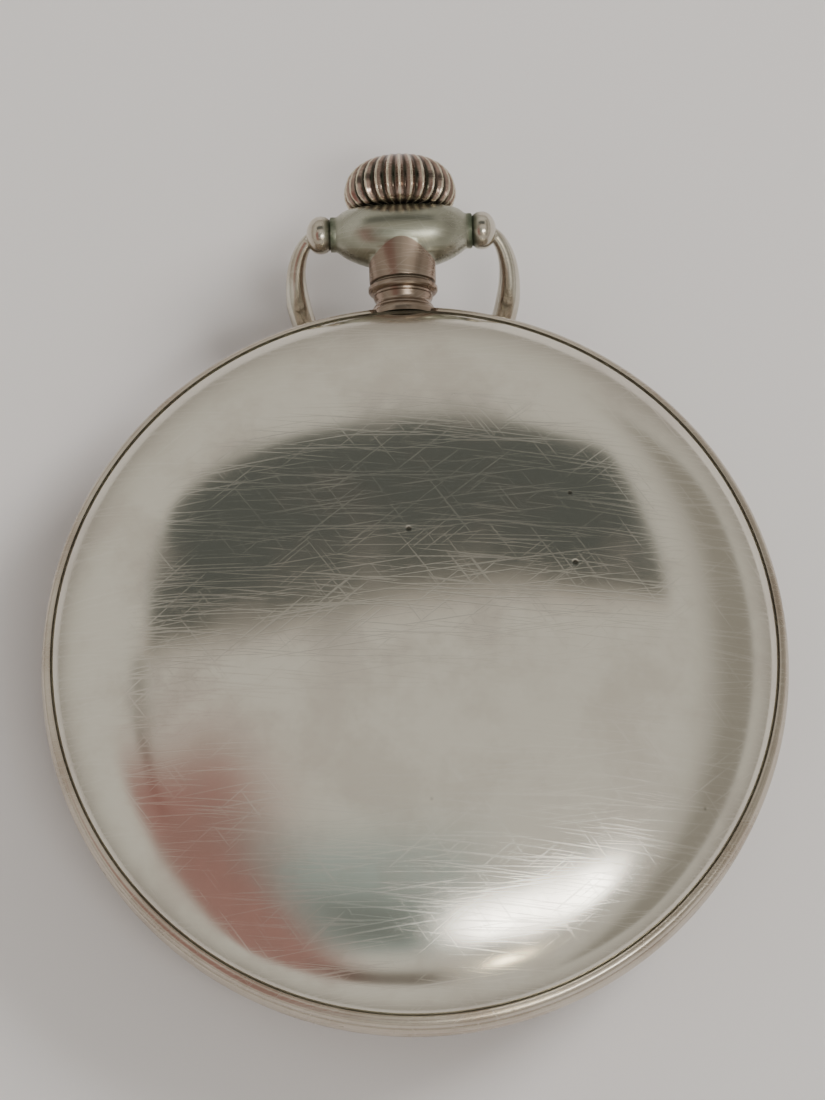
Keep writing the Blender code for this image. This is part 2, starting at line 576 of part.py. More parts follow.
def make_keyless():
    """The winding pinion, clutch wheel, setting lever and yoke around the stem."""
    loop = [(2.4, 18.4), (2.4, 16.7), (0.72, 16.7), (0.72, 18.4)]
    pinion = turned("winding_pinion", loop, STEEL, (0.0, STEM_Z), True, 32, "Y")
    fluted(pinion, 16, 0.3, 1.5)
    loop = [(1.65, 16.4), (1.65, 15.4), (1.15, 15.4), (1.15, 14.6), (1.5, 14.6), (1.5, 14.45), (1.1, 14.2)]
    loop += [(0.57, 14.2), (0.57, 16.4)]
    turned("clutch_wheel", loop, STEEL, (0.0, STEM_Z), True, 24, "Y")
    pivot = (5.6, 16.6)
    lever = [polar(0.9, angle) for angle in (20, -20, -60, -100, -140, -180)]
    lever += [(-2.7, 2.15), (-4.75, 2.3), (-4.75, 2.8), (-2.5, 2.8)]
    flat("setting_lever", lever, (8.1, 8.5), STEEL, pivot, [circle(0.3, steps=8)])
    pivot = (7.6, 13.9)
    yoke = [polar(0.8, angle) for angle in (60, 10, -40, -90, -140)]
    yoke += [(-2.0, 1.4), (-5.0, 1.45), (-5.4, 1.1), (-6.2, 0.95)]
    yoke += [(-6.2, 1.3), (-5.7, 1.45), (-5.3, 2.0), (-1.0, 2.0)]
    flat("yoke", yoke, (8.65, 8.95), STEEL, pivot, [circle(0.3, steps=8)])
    spring_route = arc(6.0, 20.0, 80.0, 6, (5.6, 6.3))
    spring_back = arc(5.75, 80.0, 20.0, 6, (5.6, 6.3))
    flat("yoke_spring", spring_route + spring_back, (8.1, 8.4), BLUED_STEEL)


# Train and escapement
def make_wheel(name, centre, wheel, wheel_z, pinion, pinion_z, arbor_z, arms=4):
    """A brass wheel on its steel pinion and arbor, as one turning unit."""
    teeth, module, facing = wheel
    inner_r = teeth * module / 2 - 3 * module
    openings = crossings(0.22 * inner_r + 0.3, inner_r, arms, 0.55)
    plate = flat(name, gear(teeth, module, facing), wheel_z, GILT_BRASS, centre, openings)
    leaves, leaf_module, leaf_facing = pinion
    leaf = flat(name + "_leaves", gear(leaves, leaf_module, leaf_facing), pinion_z, STEEL, centre)
    arbor = rod(name + "_arbor", 0.28, arbor_z, STEEL, centre, 8)
    change(plate, "UNION", [leaf, arbor])


def make_train():
    """The centre, third, fourth and escape wheels, in mesh with each other."""
    barrel_facing = 135.0 + 180.0 / CENTRE_LEAVES
    make_wheel(
        "centre_wheel", CENTRE,
        (CENTRE_TEETH, CENTRE_MODULE, THIRD_ANGLE), (8.15, 8.4),
        (CENTRE_LEAVES, BARREL_MODULE, barrel_facing), (8.35, 9.25), (3.2, 10.85), 5,
    )
    leaf_facing = THIRD_ANGLE + 180.0 + 180.0 / THIRD_LEAVES
    to_fourth = direction(THIRD, FOURTH)
    make_wheel(
        "third_wheel", THIRD,
        (THIRD_TEETH, THIRD_MODULE, to_fourth), (9.6, 9.85),
        (THIRD_LEAVES, CENTRE_MODULE, leaf_facing), (8.1, 8.55), (8.05, 10.85),
    )
    make_wheel(
        "fourth_wheel", FOURTH,
        (FOURTH_TEETH, FOURTH_MODULE, ESCAPE_ANGLE), (8.95, 9.2),
        (FOURTH_LEAVES, THIRD_MODULE, to_fourth + 180.0 + 180.0 / FOURTH_LEAVES), (9.4, 10.0), (4.15, 10.85),
    )
    points = []
    for k in range(ESCAPE_TEETH):
        middle = 360.0 * k / ESCAPE_TEETH
        points += [polar(2.55, middle - 9.0), polar(ESCAPE_R, middle - 1.6), polar(ESCAPE_R, middle + 1.0)]
        points += [polar(2.6, middle + 1.5)]
    wheel = flat("escape_wheel", points, (8.35, 8.6), STEEL, ESCAPE, crossings(0.7, 2.1, 4, 0.45))
    facing = ESCAPE_ANGLE + 180.0 + 180.0 / ESCAPE_LEAVES
    leaf = flat("escape_leaves", gear(ESCAPE_LEAVES, FOURTH_MODULE, facing), (8.55, 9.5), STEEL, ESCAPE)
    arbor = rod("escape_arbor", 0.22, (8.05, 10.85), STEEL, ESCAPE, 8)
    change(wheel, "UNION", [leaf, arbor])


def make_escapement():
    """The pallet fork, and the balance with its staff, hairspring, stud and regulator."""
    lever = [(2.05, 0.5), (2.05, 0.18), (1.7, 0.18), (1.7, -0.18), (2.05, -0.18), (2.05, -0.5), (1.5, -0.35)]
    lever += [(0.4, -0.28), (0.1, -2.1), (-0.95, -2.75), (-1.15, -2.4), (-0.5, -1.9), (-0.45, 0.0)]
    lever += [(-0.5, 1.9), (-1.15, 2.4), (-0.95, 2.75), (0.1, 2.1), (0.4, 0.28), (1.5, 0.35)]
    turn = radians(LEVER_ANGLE)
    outline = [(x * cos(turn) - y * sin(turn), x * sin(turn) + y * cos(turn)) for x, y in lever]
    fork = flat("pallet_fork", outline, (8.35, 8.6), STEEL, PALLET)
    change(fork, "UNION", [rod("pallet_arbor", 0.2, (8.05, 8.7), STEEL, PALLET, 10)])
    rim = flat("balance_wheel", circle(BALANCE_R, steps=40), (9.5, 10.1), GILT_BRASS, BALANCE,
               [*crossings(0.9, BALANCE_R - 0.75, 3, 0.8), circle(0.4, steps=10)])
    staff = [(0.0, 10.85), (0.12, 10.85), (0.12, 10.4), (0.36, 10.4), (0.36, 9.0), (0.25, 9.0), (0.25, 8.05)]
    staff += [(0.0, 8.05)]
    turned("balance_staff", staff, STEEL, BALANCE, steps=12)
    flat("impulse_roller", circle(1.5, steps=20), (8.75, 9.0), STEEL, BALANCE, [circle(0.3, steps=8)])
    ribbon("hairspring", BALANCE, 0.6, 4.0, 4, 12, 0.09, (10.3, 10.5), BLUED_STEEL, 20.0)
    stud = polar(4.0, 35.0, BALANCE)
    rod("hairspring_stud", 0.3, (10.55, 10.85), STEEL, stud, 10)
    loop = [polar(1.5, 25.0 * k) for k in range(13)]
    loop += [polar(4.0, 318.0), polar(4.0, 322.0), polar(1.5, 335.0)]
    flat("regulator", loop, (11.55, 11.75), STEEL, BALANCE, [circle(0.75, steps=12)])
    turned("cap_jewel", [(0.0, 11.95), (0.5, 11.9), (0.65, 11.53), (0.0, 11.53)], RUBY, BALANCE, steps=12)
    for number, where in enumerate(CASE_SCREWS):
        screw(f"case_screw_{number + 1}", where, 8.5, 1.2, 0.8, 0.4)


make_back_cover()
make_case_middle()
make_front()
make_pendant()
make_crown()
make_bow()
make_main_plate()
make_dial_side()
make_frame()
make_barrel()
make_winding()
make_keyless()
make_train()
make_escapement()
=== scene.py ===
"""An open face pocket watch, lying on its crystal with its worn nickel silver back up."""

from math import atan2, cos, hypot, pi, radians, sin

import bmesh
import bpy
from mathutils import Matrix, Vector, noise


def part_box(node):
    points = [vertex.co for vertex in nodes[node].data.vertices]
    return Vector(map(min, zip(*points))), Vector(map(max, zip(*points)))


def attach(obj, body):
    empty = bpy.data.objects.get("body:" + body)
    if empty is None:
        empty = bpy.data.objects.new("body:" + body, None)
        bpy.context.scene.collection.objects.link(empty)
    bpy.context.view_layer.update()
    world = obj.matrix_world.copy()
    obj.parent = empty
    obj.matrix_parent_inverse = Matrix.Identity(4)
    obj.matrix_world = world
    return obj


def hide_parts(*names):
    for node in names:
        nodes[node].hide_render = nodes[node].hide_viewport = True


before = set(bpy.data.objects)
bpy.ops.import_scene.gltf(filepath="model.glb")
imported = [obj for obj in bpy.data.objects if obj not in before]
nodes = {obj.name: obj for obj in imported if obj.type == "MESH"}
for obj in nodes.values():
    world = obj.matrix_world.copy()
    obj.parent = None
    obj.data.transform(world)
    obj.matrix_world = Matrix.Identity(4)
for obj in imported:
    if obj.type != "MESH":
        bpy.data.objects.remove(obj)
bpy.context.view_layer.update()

# --- Bench, light and camera ---
# The watch lies on a pale polished slab under a soft room light. The room is a plain procedural
# sky: a pale ceiling, a dark beam across it, and a few soft coloured things that polished metal
# picks up. The camera looks down on the back from the six o'clock side.
MM = 0.001


def shader_of(material):
    """The material's Principled shader."""
    return material.node_tree.nodes["Principled BSDF"]


def new_material(name, colour, roughness, metallic=1.0):
    """A node material with one Principled shader."""
    made = bpy.data.materials.new(name)
    made.use_nodes = True
    shader = shader_of(made)
    shader.inputs["Base Color"].default_value = (*colour, 1.0)
    shader.inputs["Roughness"].default_value = roughness
    shader.inputs["Metallic"].default_value = metallic
    return made


def wired(tree, kind, settings=None, **inputs):
    """Adds a node, sets its properties and its inputs, and joins any input that is a socket.

    An input is named, with _ for a space, or given by its number after an i.
    """
    made = tree.nodes.new(kind)
    for key, value in (settings or {}).items():
        setattr(made, key, value)
    for key, value in inputs.items():
        by_number = key[1:].isdigit()
        socket = made.inputs[int(key[1:]) if by_number else key.replace("_", " ")]
        if isinstance(value, bpy.types.NodeSocket):
            tree.links.new(value, socket)
        else:
            socket.default_value = value
    return made


def calc(operation, a, b=0.0, clamp=False):
    """One step of arithmetic on sockets or numbers, in the node tree of its sockets."""
    tree = (a if isinstance(a, bpy.types.NodeSocket) else b).id_data
    settings = {"operation": operation, "use_clamp": clamp}
    return wired(tree, "ShaderNodeMath", settings, i0=a, i1=b).outputs[0]


def plus(a, b, clamp=False):
    """The sum of two values."""
    return calc("ADD", a, b, clamp)


def minus(a, b):
    """One value less another."""
    return calc("SUBTRACT", a, b)


def times(a, b):
    """The product of two values."""
    return calc("MULTIPLY", a, b)


def rest_of(value):
    """What a share leaves of 1."""
    return minus(1.0, value)


def clouds(place, scale, detail, roughness=0.5):
    """Soft noise over a place."""
    made = wired(place.id_data, "ShaderNodeTexNoise", Vector=place, Scale=scale, Detail=detail,
                 Roughness=roughness)
    return made.outputs[0]


def split(place):
    """The three coordinates of a place."""
    return wired(place.id_data, "ShaderNodeSeparateXYZ", i0=place).outputs[:3]


def ramp_between(value, low, high):
    """Rises smoothly from 0 at low to 1 at high."""
    smooth_step = {"interpolation_type": "SMOOTHSTEP"}
    made = wired(value.id_data, "ShaderNodeMapRange", smooth_step, i0=value, i1=low, i2=high)
    return made.outputs[0]


def mixed(share, a, b):
    """One colour turning into another. Each is a socket or three plain numbers."""
    a, b = ((*tint, 1.0) if isinstance(tint, tuple) else tint for tint in (a, b))
    made = wired(share.id_data, "ShaderNodeMix", {"data_type": "RGBA"}, i0=share, i6=a, i7=b)
    return made.outputs[2]


def patch(along, across, middle, half, soft):
    """A soft-edged rectangle on the sky, 1 inside and 0 outside."""
    share = None
    for value, centre, reach in ((along, middle[0], half[0]), (across, middle[1], half[1])):
        away = calc("ABSOLUTE", minus(value, centre))
        side = rest_of(ramp_between(away, reach - soft, reach + soft))
        share = side if share is None else times(share, side)
    return share


world = bpy.data.worlds.new("room")
bpy.context.scene.world = world
world.use_nodes = True
room = world.node_tree
sky = room.nodes["Background"]
ray = wired(room, "ShaderNodeTexCoord").outputs["Generated"]
ray_x, ray_y, ray_z = split(ray)
height = calc("MAXIMUM", ray_z, 0.08)
sideways = calc("DIVIDE", ray_x, height)
forward = calc("DIVIDE", ray_y, height)
wobble = clouds(ray, 3.0, 2.0)
wobble = times(minus(wobble, 0.5), 0.14)
sideways = plus(sideways, wobble)
forward = plus(forward, wobble)
forward = minus(forward, times(sideways, 0.08))
low_sky = ramp_between(ray_z, -0.05, 0.62)
colour = mixed(low_sky, (0.45, 0.42, 0.375), (0.72, 0.69, 0.625))
# Each patch: its middle, its half size, how soft its edge is, its colour and how strong it is.
SKY_PATCHES = [
    ((1.35, -0.1), (0.50, 1.6), 0.22, (0.24, 0.22, 0.185), 0.8),
    ((-0.05, 0.37), (0.62, 0.05), 0.03, (0.66, 0.52, 0.42), 0.7),
    ((-0.04, 0.61), (0.61, 0.275), 0.025, (0.085, 0.095, 0.088), 0.97),
    ((-0.70, 0.14), (0.035, 0.22), 0.03, (0.08, 0.075, 0.06), 0.9),
    ((-0.62, -0.50), (0.34, 0.62), 0.12, (0.33, 0.13, 0.115), 0.85),
    ((-0.12, -0.34), (0.22, 0.26), 0.09, (0.20, 0.34, 0.34), 0.6),
    ((-0.13, -0.40), (0.13, 0.13), 0.08, (0.13, 0.14, 0.13), 0.75),
    ((-0.16, -0.98), (0.26, 0.15), 0.10, (0.10, 0.075, 0.06), 0.8),
    ((0.30, -0.43), (0.21, 0.085), 0.05, (11.0, 10.8, 10.2), 1.0),
    ((0.30, -0.82), (0.05, 0.05), 0.03, (10.0, 8.6, 6.0), 1.0),
]
for middle, half, soft, tint, strength in SKY_PATCHES:
    share = times(patch(sideways, forward, middle, half, soft), strength)
    colour = mixed(share, colour, tint)
room.links.new(colour, sky.inputs["Color"])
sky.inputs["Strength"].default_value = 1.0

SLAB_SIZE = 2.0
SLAB_DROP = 0.00002
bpy.ops.mesh.primitive_plane_add(size=SLAB_SIZE, location=(0.0, 0.0, -SLAB_DROP))
slab = bpy.context.object
slab.name = "slab"
slab_finish = new_material("pale_slab", (0.80, 0.785, 0.80), 0.42, 0.0)
slab.data.materials.append(slab_finish)


def link(data, name):
    """A new object of a mesh, a lamp, a camera or a curve, in the scene."""
    piece = bpy.data.objects.new(name, data)
    bpy.context.scene.collection.objects.link(piece)
    return piece


def add_light(name, place, size, power, tint):
    """A soft square lamp that points at the watch."""
    lamp = bpy.data.lights.new(name, "AREA")
    lamp.shape = "SQUARE"
    lamp.size = size
    lamp.energy = power
    lamp.color = tint
    holder = link(lamp, name)
    holder.location = place
    holder.rotation_euler = (-Vector(place)).to_track_quat("-Z", "Y").to_euler()
    return holder


window = add_light("window", (0.42, 0.22, 0.40), 0.22, 2.2, (1.0, 0.97, 0.92))
window.visible_glossy = False

TILT = radians(14.967)
ROLL = radians(-1.823)
AIM_UP = 0.01955
AIM_ASIDE = 0.00042
DISTANCE = 0.400
TARGET = Vector((0.0, 0.0, 0.008))
FOCAL_LENGTH = 195.6
lens = bpy.data.cameras.new("camera")
lens.sensor_width = 36.0
lens.lens = FOCAL_LENGTH
lens.clip_start = 0.01
camera = link(lens, "camera")
to_camera = Vector((0.0, -sin(TILT), cos(TILT)))
right = Vector((1.0, 0.0, 0.0))
up = to_camera.cross(right)
facing = Matrix((right, up, to_camera)).transposed().to_4x4()
view = Matrix.Translation(TARGET + DISTANCE * to_camera) @ facing
for turn, axis in ((ROLL, "Z"), (AIM_UP, "X"), (AIM_ASIDE, "Y")):
    view = view @ Matrix.Rotation(turn, 4, axis)
camera.matrix_world = view
bpy.context.scene.camera = camera

# --- Back cover ---
# A plain dome spun from nickel silver sheet about half a millimetre thick, with a lip that snaps
# into the band. Decades in pockets have left it softly dented, scratched and lightly pitted.
BACK_R = 24.3
BACK_Z = 10.0
BACK_RISE = 5.5
BACK_SHEET = 0.55
TO_AXIS = {"Z": Matrix(), "Y": Matrix.Rotation(-pi / 2, 4, "X"),
           "X": Matrix.Rotation(pi / 2, 4, "Y")}
ORIGIN = (0.0, 0.0, 0.0)


def mesh_of(shape, name, *finishes):
    """The mesh of a bmesh, which is freed, with its materials put on."""
    mesh = bpy.data.meshes.new(name)
    shape.to_mesh(mesh)
    shape.free()
    for finish in finishes:
        mesh.materials.append(finish)
    return mesh


def smooth(mesh, sharp):
    """Shades a mesh smooth, apart from edges sharper than an angle in degrees."""
    mesh.shade_smooth()
    mesh.set_sharp_from_angle(angle=radians(sharp))
    return mesh


def turned(name, profile, finish, steps=192, ring=False, axis="Z", centre=ORIGIN, sharp=40.0):
    """A turned piece from a profile of (radius, height) points in millimetres, closed and smooth.

    A profile with ring set doesn't reach the axis, and its last point is joined to its first.
    """
    shape = bmesh.new()
    turns = [2 * pi * k / steps for k in range(steps)]
    rows = []
    for radius, level in profile:
        spread = turns if radius > 1e-6 else [0.0]
        points = [(radius * MM * cos(a), radius * MM * sin(a), level * MM) for a in spread]
        rows.append([shape.verts.new(point) for point in points])
    for upper, lower in zip(rows, rows[1:] + rows[:1] if ring else rows[1:]):
        for k in range(steps):
            n = (k + 1) % steps
            ends = ((upper, k), (lower, k), (lower, n), (upper, n))
            corners = [row[i % len(row)] for row, i in ends]
            kept = [c for i, c in enumerate(corners) if c not in corners[:i]]
            if len(kept) > 2:
                shape.faces.new(kept)
    bmesh.ops.recalc_face_normals(shape, faces=shape.faces)
    placing = Matrix.Translation([c * MM for c in centre]) @ TO_AXIS[axis]
    bmesh.ops.transform(shape, matrix=placing, verts=shape.verts)
    return link(smooth(mesh_of(shape, name, finish), sharp), name)


def dome_height(radius):
    """The height of the back's outer face, in millimetres."""
    return BACK_Z + BACK_RISE * (1 - min(1.0, radius / BACK_R) ** 2.2) ** 0.588


# Each set of scratches: its turn in degrees, its scales across and along, and how few it keeps.
SCRATCHES = [(2, 8500, 80, 0.62), (-7, 6500, 70, 0.64), (8, 9500, 120, 0.63),
             (-38, 7500, 150, 0.67), (55, 7000, 160, 0.67)]


def laid_at(place, turn):
    """A place on the piece, turned about Z by an angle in degrees."""
    about_z = {"rotation_type": "Z_AXIS"}
    made = wired(place.id_data, "ShaderNodeVectorRotate", about_z, Vector=place,
                 Angle=radians(turn))
    return made.outputs[0]


def object_place(tree):
    """The place of a point on its piece, in metres."""
    return wired(tree, "ShaderNodeTexCoord").outputs["Object"]


def feed(material, label, value):
    """Joins a value to an input of the material's shader."""
    material.node_tree.links.new(value, shader_of(material).inputs[label])


def fed(material, label):
    """The value that an input of the material's shader already takes."""
    return shader_of(material).inputs[label].links[0].from_socket


def bumped(material, height, strength, distance):
    """Gives a material a fine relief."""
    bump = wired(material.node_tree, "ShaderNodeBump", Height=height, Strength=strength,
                 Distance=distance)
    feed(material, "Normal", bump.outputs[0])


def scratch_layer(place, turn, across, along, keep):
    """Fine straight scratches that run one way: 1 on a scratch and 0 off it."""
    laid = laid_at(place, turn)
    drawn = wired(laid.id_data, "ShaderNodeMapping", Vector=laid, Scale=(along, across, along))
    grain = clouds(drawn.outputs[0], 1.0, 1.0)
    return ramp_between(grain, keep, keep + 0.05)


def worn_silver(name, colour, dull, roughness, scratch=1.0, verdigris_and_shade=0.6, corner_shade_reach=0.0007):
    """Nickel silver: clouded with wear, finely scratched, pitted, and darkened green in its corners
    by verdigris and painted shade.
    """
    made = new_material(name, colour, roughness)
    tree = made.node_tree
    place = object_place(tree)
    cloud = clouds(place, 130.0, 5.0, 0.6)
    cloud = ramp_between(cloud, 0.42, 0.66)
    fine = clouds(place, 900.0, 4.0, 0.7)
    lines = None
    for turn, across, along, keep in SCRATCHES:
        layer = scratch_layer(place, turn, across, along, keep)
        lines = layer if lines is None else calc("MAXIMUM", lines, layer)
    lines = times(lines, scratch)
    pits = wired(tree, "ShaderNodeTexVoronoi", Vector=place, Scale=170.0).outputs["Distance"]
    pits = rest_of(ramp_between(pits, 0.02, 0.045))
    # Painted shade: an occlusion test finds corners and seams, which are darkened partly as
    # verdigris, partly as shade.
    nearby = {"samples": 6, "only_local": False}
    corner = wired(tree, "ShaderNodeAmbientOcclusion", nearby, Distance=corner_shade_reach).outputs["AO"]
    corner = rest_of(ramp_between(corner, 0.25, 0.75))
    tone = mixed(cloud, colour, dull)
    # The last mix paints the corner shade, together with verdigris, in a dark green.
    for share, strength, tint in ((lines, 0.2, (0.84, 0.81, 0.74)), (pits, 0.7, (0.12, 0.10, 0.07)),
                                  (corner, verdigris_and_shade, (0.07, 0.08, 0.055))):
        tone = mixed(times(share, strength), tone, tint)
    feed(made, "Base Color", tone)
    rough = roughness
    for share, amount in ((cloud, 0.07), (fine, 0.05), (lines, 0.08), (corner, 0.3)):
        rough = plus(rough, times(share, amount), True)
    feed(made, "Roughness", rough)
    relief = plus(times(lines, -0.18), times(pits, -3.0))
    relief = plus(relief, times(fine, 0.25))
    bumped(made, relief, 0.35, 0.00001)
    return made


def soften(piece, amount, wavelength):
    """Lets a face wander very slightly in and out, as old sheet metal does."""
    for vertex in piece.data.vertices:
        vertex.co.z += noise.noise(vertex.co / (wavelength * MM)) * amount * MM


back_silver = worn_silver("back_silver", (0.72, 0.69, 0.61), (0.64, 0.60, 0.53), 0.09, 1.0, 0.25,
                          0.0003)
dome_radii = [BACK_R * sin(pi / 2 * k / 72) for k in range(70)]
dome = [(radius, dome_height(radius)) for radius in dome_radii]
back_rim = [(24.29, 10.45), (BACK_R, 10.2), (24.29, 10.04), (24.25, 9.99)]
back_lip = [(23.3, 9.99), (23.2, 9.95), (23.2, 9.35), (23.1, 9.3), (22.8, 9.3), (22.75, 9.35),
            (22.75, 10.9)]
inside_radii = (22.2, 21.5, 20.5, 19.0, 17.0, 14.5, 11.0, 7.0, 3.0, 0.0)
back_inside = [(radius, dome_height(radius) - BACK_SHEET) for radius in inside_radii]
back = turned("worn_back_cover", dome + back_rim + back_lip + back_inside, back_silver, 256)
soften(back, 0.035, 9.0)
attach(back, "back")
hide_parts("back_cover")

# --- Case middle ---
# The band of the case, turned from nickel silver with a fine groove and two soft mouldings. The
# pendant is soldered into a socket at twelve o'clock, and the stem passes through its wall.
band_silver = worn_silver("band_silver", (0.60, 0.54, 0.46), (0.46, 0.39, 0.32), 0.18, 0.6, 0.5,
                          0.0004)


def half_round(middle, radius, height, steps=9):
    """Points down the outer side of a rounded moulding."""
    angles = [pi / 2 - pi * k / steps for k in range(steps + 1)]
    return [(middle[0] + radius * cos(a), middle[1] + height * sin(a)) for a in angles]


band_profile = [(23.4, 9.95), (24.24, 9.95), (24.34, 9.9)] + half_round((24.42, 9.35), 0.46, 0.46)
band_profile += [(24.5, 8.82)] + half_round((24.45, 8.15), 0.55, 0.62, 12) + [(24.5, 7.48)]
band_profile += half_round((24.42, 6.75), 0.5, 0.66) + [(24.4, 5.95), (24.3, 5.67)]
band_profile += [(21.5, 5.67), (20.95, 6.0), (20.95, 9.05), (23.4, 9.05)]
band = turned("band", band_profile, band_silver, 256, True)


def discard(*pieces):
    """Removes pieces that were only needed on the way."""
    for piece in pieces:
        bpy.data.objects.remove(piece, do_unlink=True)


def baked(piece):
    """The mesh that a piece comes to with its modifiers."""
    bpy.context.view_layer.update()
    graph = bpy.context.evaluated_depsgraph_get()
    return bpy.data.meshes.new_from_object(piece.evaluated_get(graph))


def settle(piece):
    """Makes a piece's evaluated shape its own mesh, with no modifiers left."""
    mesh = baked(piece)
    piece.modifiers.clear()
    piece.data = mesh


def combine(piece, tools, operation, material_mode):
    """Cuts other meshes from a piece, or joins them to it, and leaves one plain mesh."""
    for tool in tools:
        step = piece.modifiers.new("combine", "BOOLEAN")
        step.operation = operation
        step.material_mode = material_mode
        step.object = tool
    settle(piece)
    discard(*tools)


def cut(piece, *tools):
    """Cuts other meshes from a piece."""
    combine(piece, tools, "DIFFERENCE", "INDEX")


def join(piece, *others):
    """Joins other meshes to a piece, each with its own material."""
    combine(piece, others, "UNION", "TRANSFER")


def bar(name, radius, low, high, finish, centre=ORIGIN, axis="Z"):
    """A plain round bar, used as a cutter."""
    sides = [(0.0, high), (radius, high), (radius, low), (0.0, low)]
    return turned(name, sides, finish, 48, False, axis, centre)


STEM_Z = 8.3
STEM = (0.0, 0.0, STEM_Z)
SOCKET_R = 2.38
BORE_R = 1.3
NECK_FOOT = 24.37
cut(band, bar("socket", SOCKET_R, NECK_FOOT, 27.0, band_silver, STEM, "Y"),
    bar("bore", BORE_R, 19.0, 27.0, band_silver, STEM, "Y"))
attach(band, "case")
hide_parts("case_middle")

# --- Pendant ---
# A short turned neck with a bead and a flared foot, and a lemon-shaped cross boss on top that
# carries the bow. Its silvering is worn through to the coppery base, and every corner is darkened
# by verdigris and painted shade.
# Both metals paint strong shade, with verdigris, into their corners.
copper_worn = worn_silver("pendant_copper", (0.42, 0.31, 0.25), (0.30, 0.235, 0.185), 0.2, 0.5,
                          0.95, 0.0006)
boss_worn = worn_silver("boss_silver", (0.46, 0.46, 0.39), (0.34, 0.34, 0.27), 0.22, 0.5, 1.0,
                        0.0006)
SEAM_X = 4.85
SEAM_LOW_Y = 29.2


def green_seam(made):
    """Verdigris in the seams between the boss and the bow's balls."""
    tree = made.node_tree
    place = object_place(tree)
    x, y, _ = split(place)
    across = calc("ABSOLUTE", x)
    off_seam = calc("ABSOLUTE", minus(across, SEAM_X * MM))
    near = rest_of(ramp_between(off_seam, 0.1 * MM, 0.65 * MM))
    high_up = ramp_between(y, SEAM_LOW_Y * MM, (SEAM_LOW_Y + 0.4) * MM)
    near = times(near, high_up)
    blotch = clouds(place, 900.0, 4.0)
    share = times(near, ramp_between(blotch, 0.32, 0.6))
    tone = mixed(times(share, 0.8), fed(made, "Base Color"), (0.085, 0.12, 0.07))
    feed(made, "Base Color", tone)
    feed(made, "Roughness", plus(fed(made, "Roughness"), times(share, 0.35), True))


green_seam(boss_worn)
NECK = [(0.0, 31.2), (2.27, 31.2), (2.27, 27.04), (2.24, 26.95), (2.1, 26.86), (2.1, 26.78),
        (2.24, 26.72), (2.36, 26.6), (2.36, 26.38), (2.28, 26.26), (2.12, 26.18), (2.0, 26.14),
        (1.96, 26.02), (2.02, 25.9), (1.98, 25.78), (1.88, 25.6), (1.86, 25.5), (1.9, 25.38),
        (1.98, 25.26), (2.05, 25.18), (2.05, 25.1), (2.16, 25.0), (2.26, 24.88), (2.33, 24.72),
        (2.35, 24.6), (2.35, NECK_FOOT), (0.0, NECK_FOOT)]
boss_side = [(4.45, 1.2), (4.32, 1.27), (4.0, 1.52), (3.6, 1.77), (3.0, 2.05), (2.4, 2.26),
             (1.8, 2.37), (1.2, 2.43), (0.6, 2.46)]
cup = [(0.0, 4.5), (0.4, 4.51), (0.75, 4.6), (0.98, 4.74), (1.1, 4.86), (1.2, 4.8), (1.22, 4.62)]
half_boss = cup + [(radius, side) for side, radius in boss_side]
boss_profile = half_boss + [(2.47, 0.0)] + [(radius, -side) for radius, side in reversed(half_boss)]
BOW_Y = 30.6
BOW_MIDDLE = (0.0, BOW_Y, STEM_Z)
pendant = turned("pendant_and_boss", boss_profile, boss_worn, 128, False, "X", BOW_MIDDLE, 30.0)
neck = turned("neck", NECK, copper_worn, 128, False, "Y", STEM, 30.0)


def block_mesh(name, size, finish):
    """A mesh of a plain block, centred on the origin."""
    shape = bmesh.new()
    bmesh.ops.create_cube(shape, size=1.0)
    scaling = Matrix.Diagonal((*[side * MM for side in size], 1.0))
    bmesh.ops.transform(shape, matrix=scaling, verts=shape.verts)
    return mesh_of(shape, name, finish)


def slab_cutter(name, low, high, finish):
    """A plain block between two corners in millimetres, used as a cutter."""
    block = link(block_mesh(name, [b - a for a, b in zip(low, high)], finish), name)
    block.data.transform(Matrix.Translation([(a + b) / 2 * MM for a, b in zip(low, high)]))
    return block


join(pendant, neck)
cut(pendant, slab_cutter("flat", (-6.0, 32.0, 0.0), (6.0, 36.0, 16.0), boss_worn))
cut(pendant, bar("stem_bore", BORE_R, 20.0, 34.0, boss_worn, STEM, "Y"))
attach(pendant, "case")
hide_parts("pendant")

# --- Crown ---
# A pumpkin-shaped button with 28 rounded ribs, of worn copper with a painted highlight along each
# crest, and dark green dirt with painted shade in the grooves. It sits on the stem and pulls out to
# set the hands.
RIBS = 28
RIB_STEPS = 14
RIB_DEPTH = 0.3
CROWN = [(0.0, 35.85), (0.7, 35.84), (1.3, 35.79), (1.9, 35.68), (2.45, 35.5), (2.95, 35.2),
         (3.35, 34.82), (3.62, 34.4), (3.78, 33.95), (3.84, 33.5), (3.8, 33.05), (3.66, 32.7),
         (3.4, 32.38), (3.1, 32.18), (2.9, 32.14), (0.0, 32.14)]


def length_of(x, y):
    """How far a point with these two coordinates is from the middle."""
    flat = wired(x.id_data, "ShaderNodeCombineXYZ", X=x, Y=y).outputs[0]
    return wired(x.id_data, "ShaderNodeVectorMath", {"operation": "LENGTH"}, i0=flat).outputs[1]


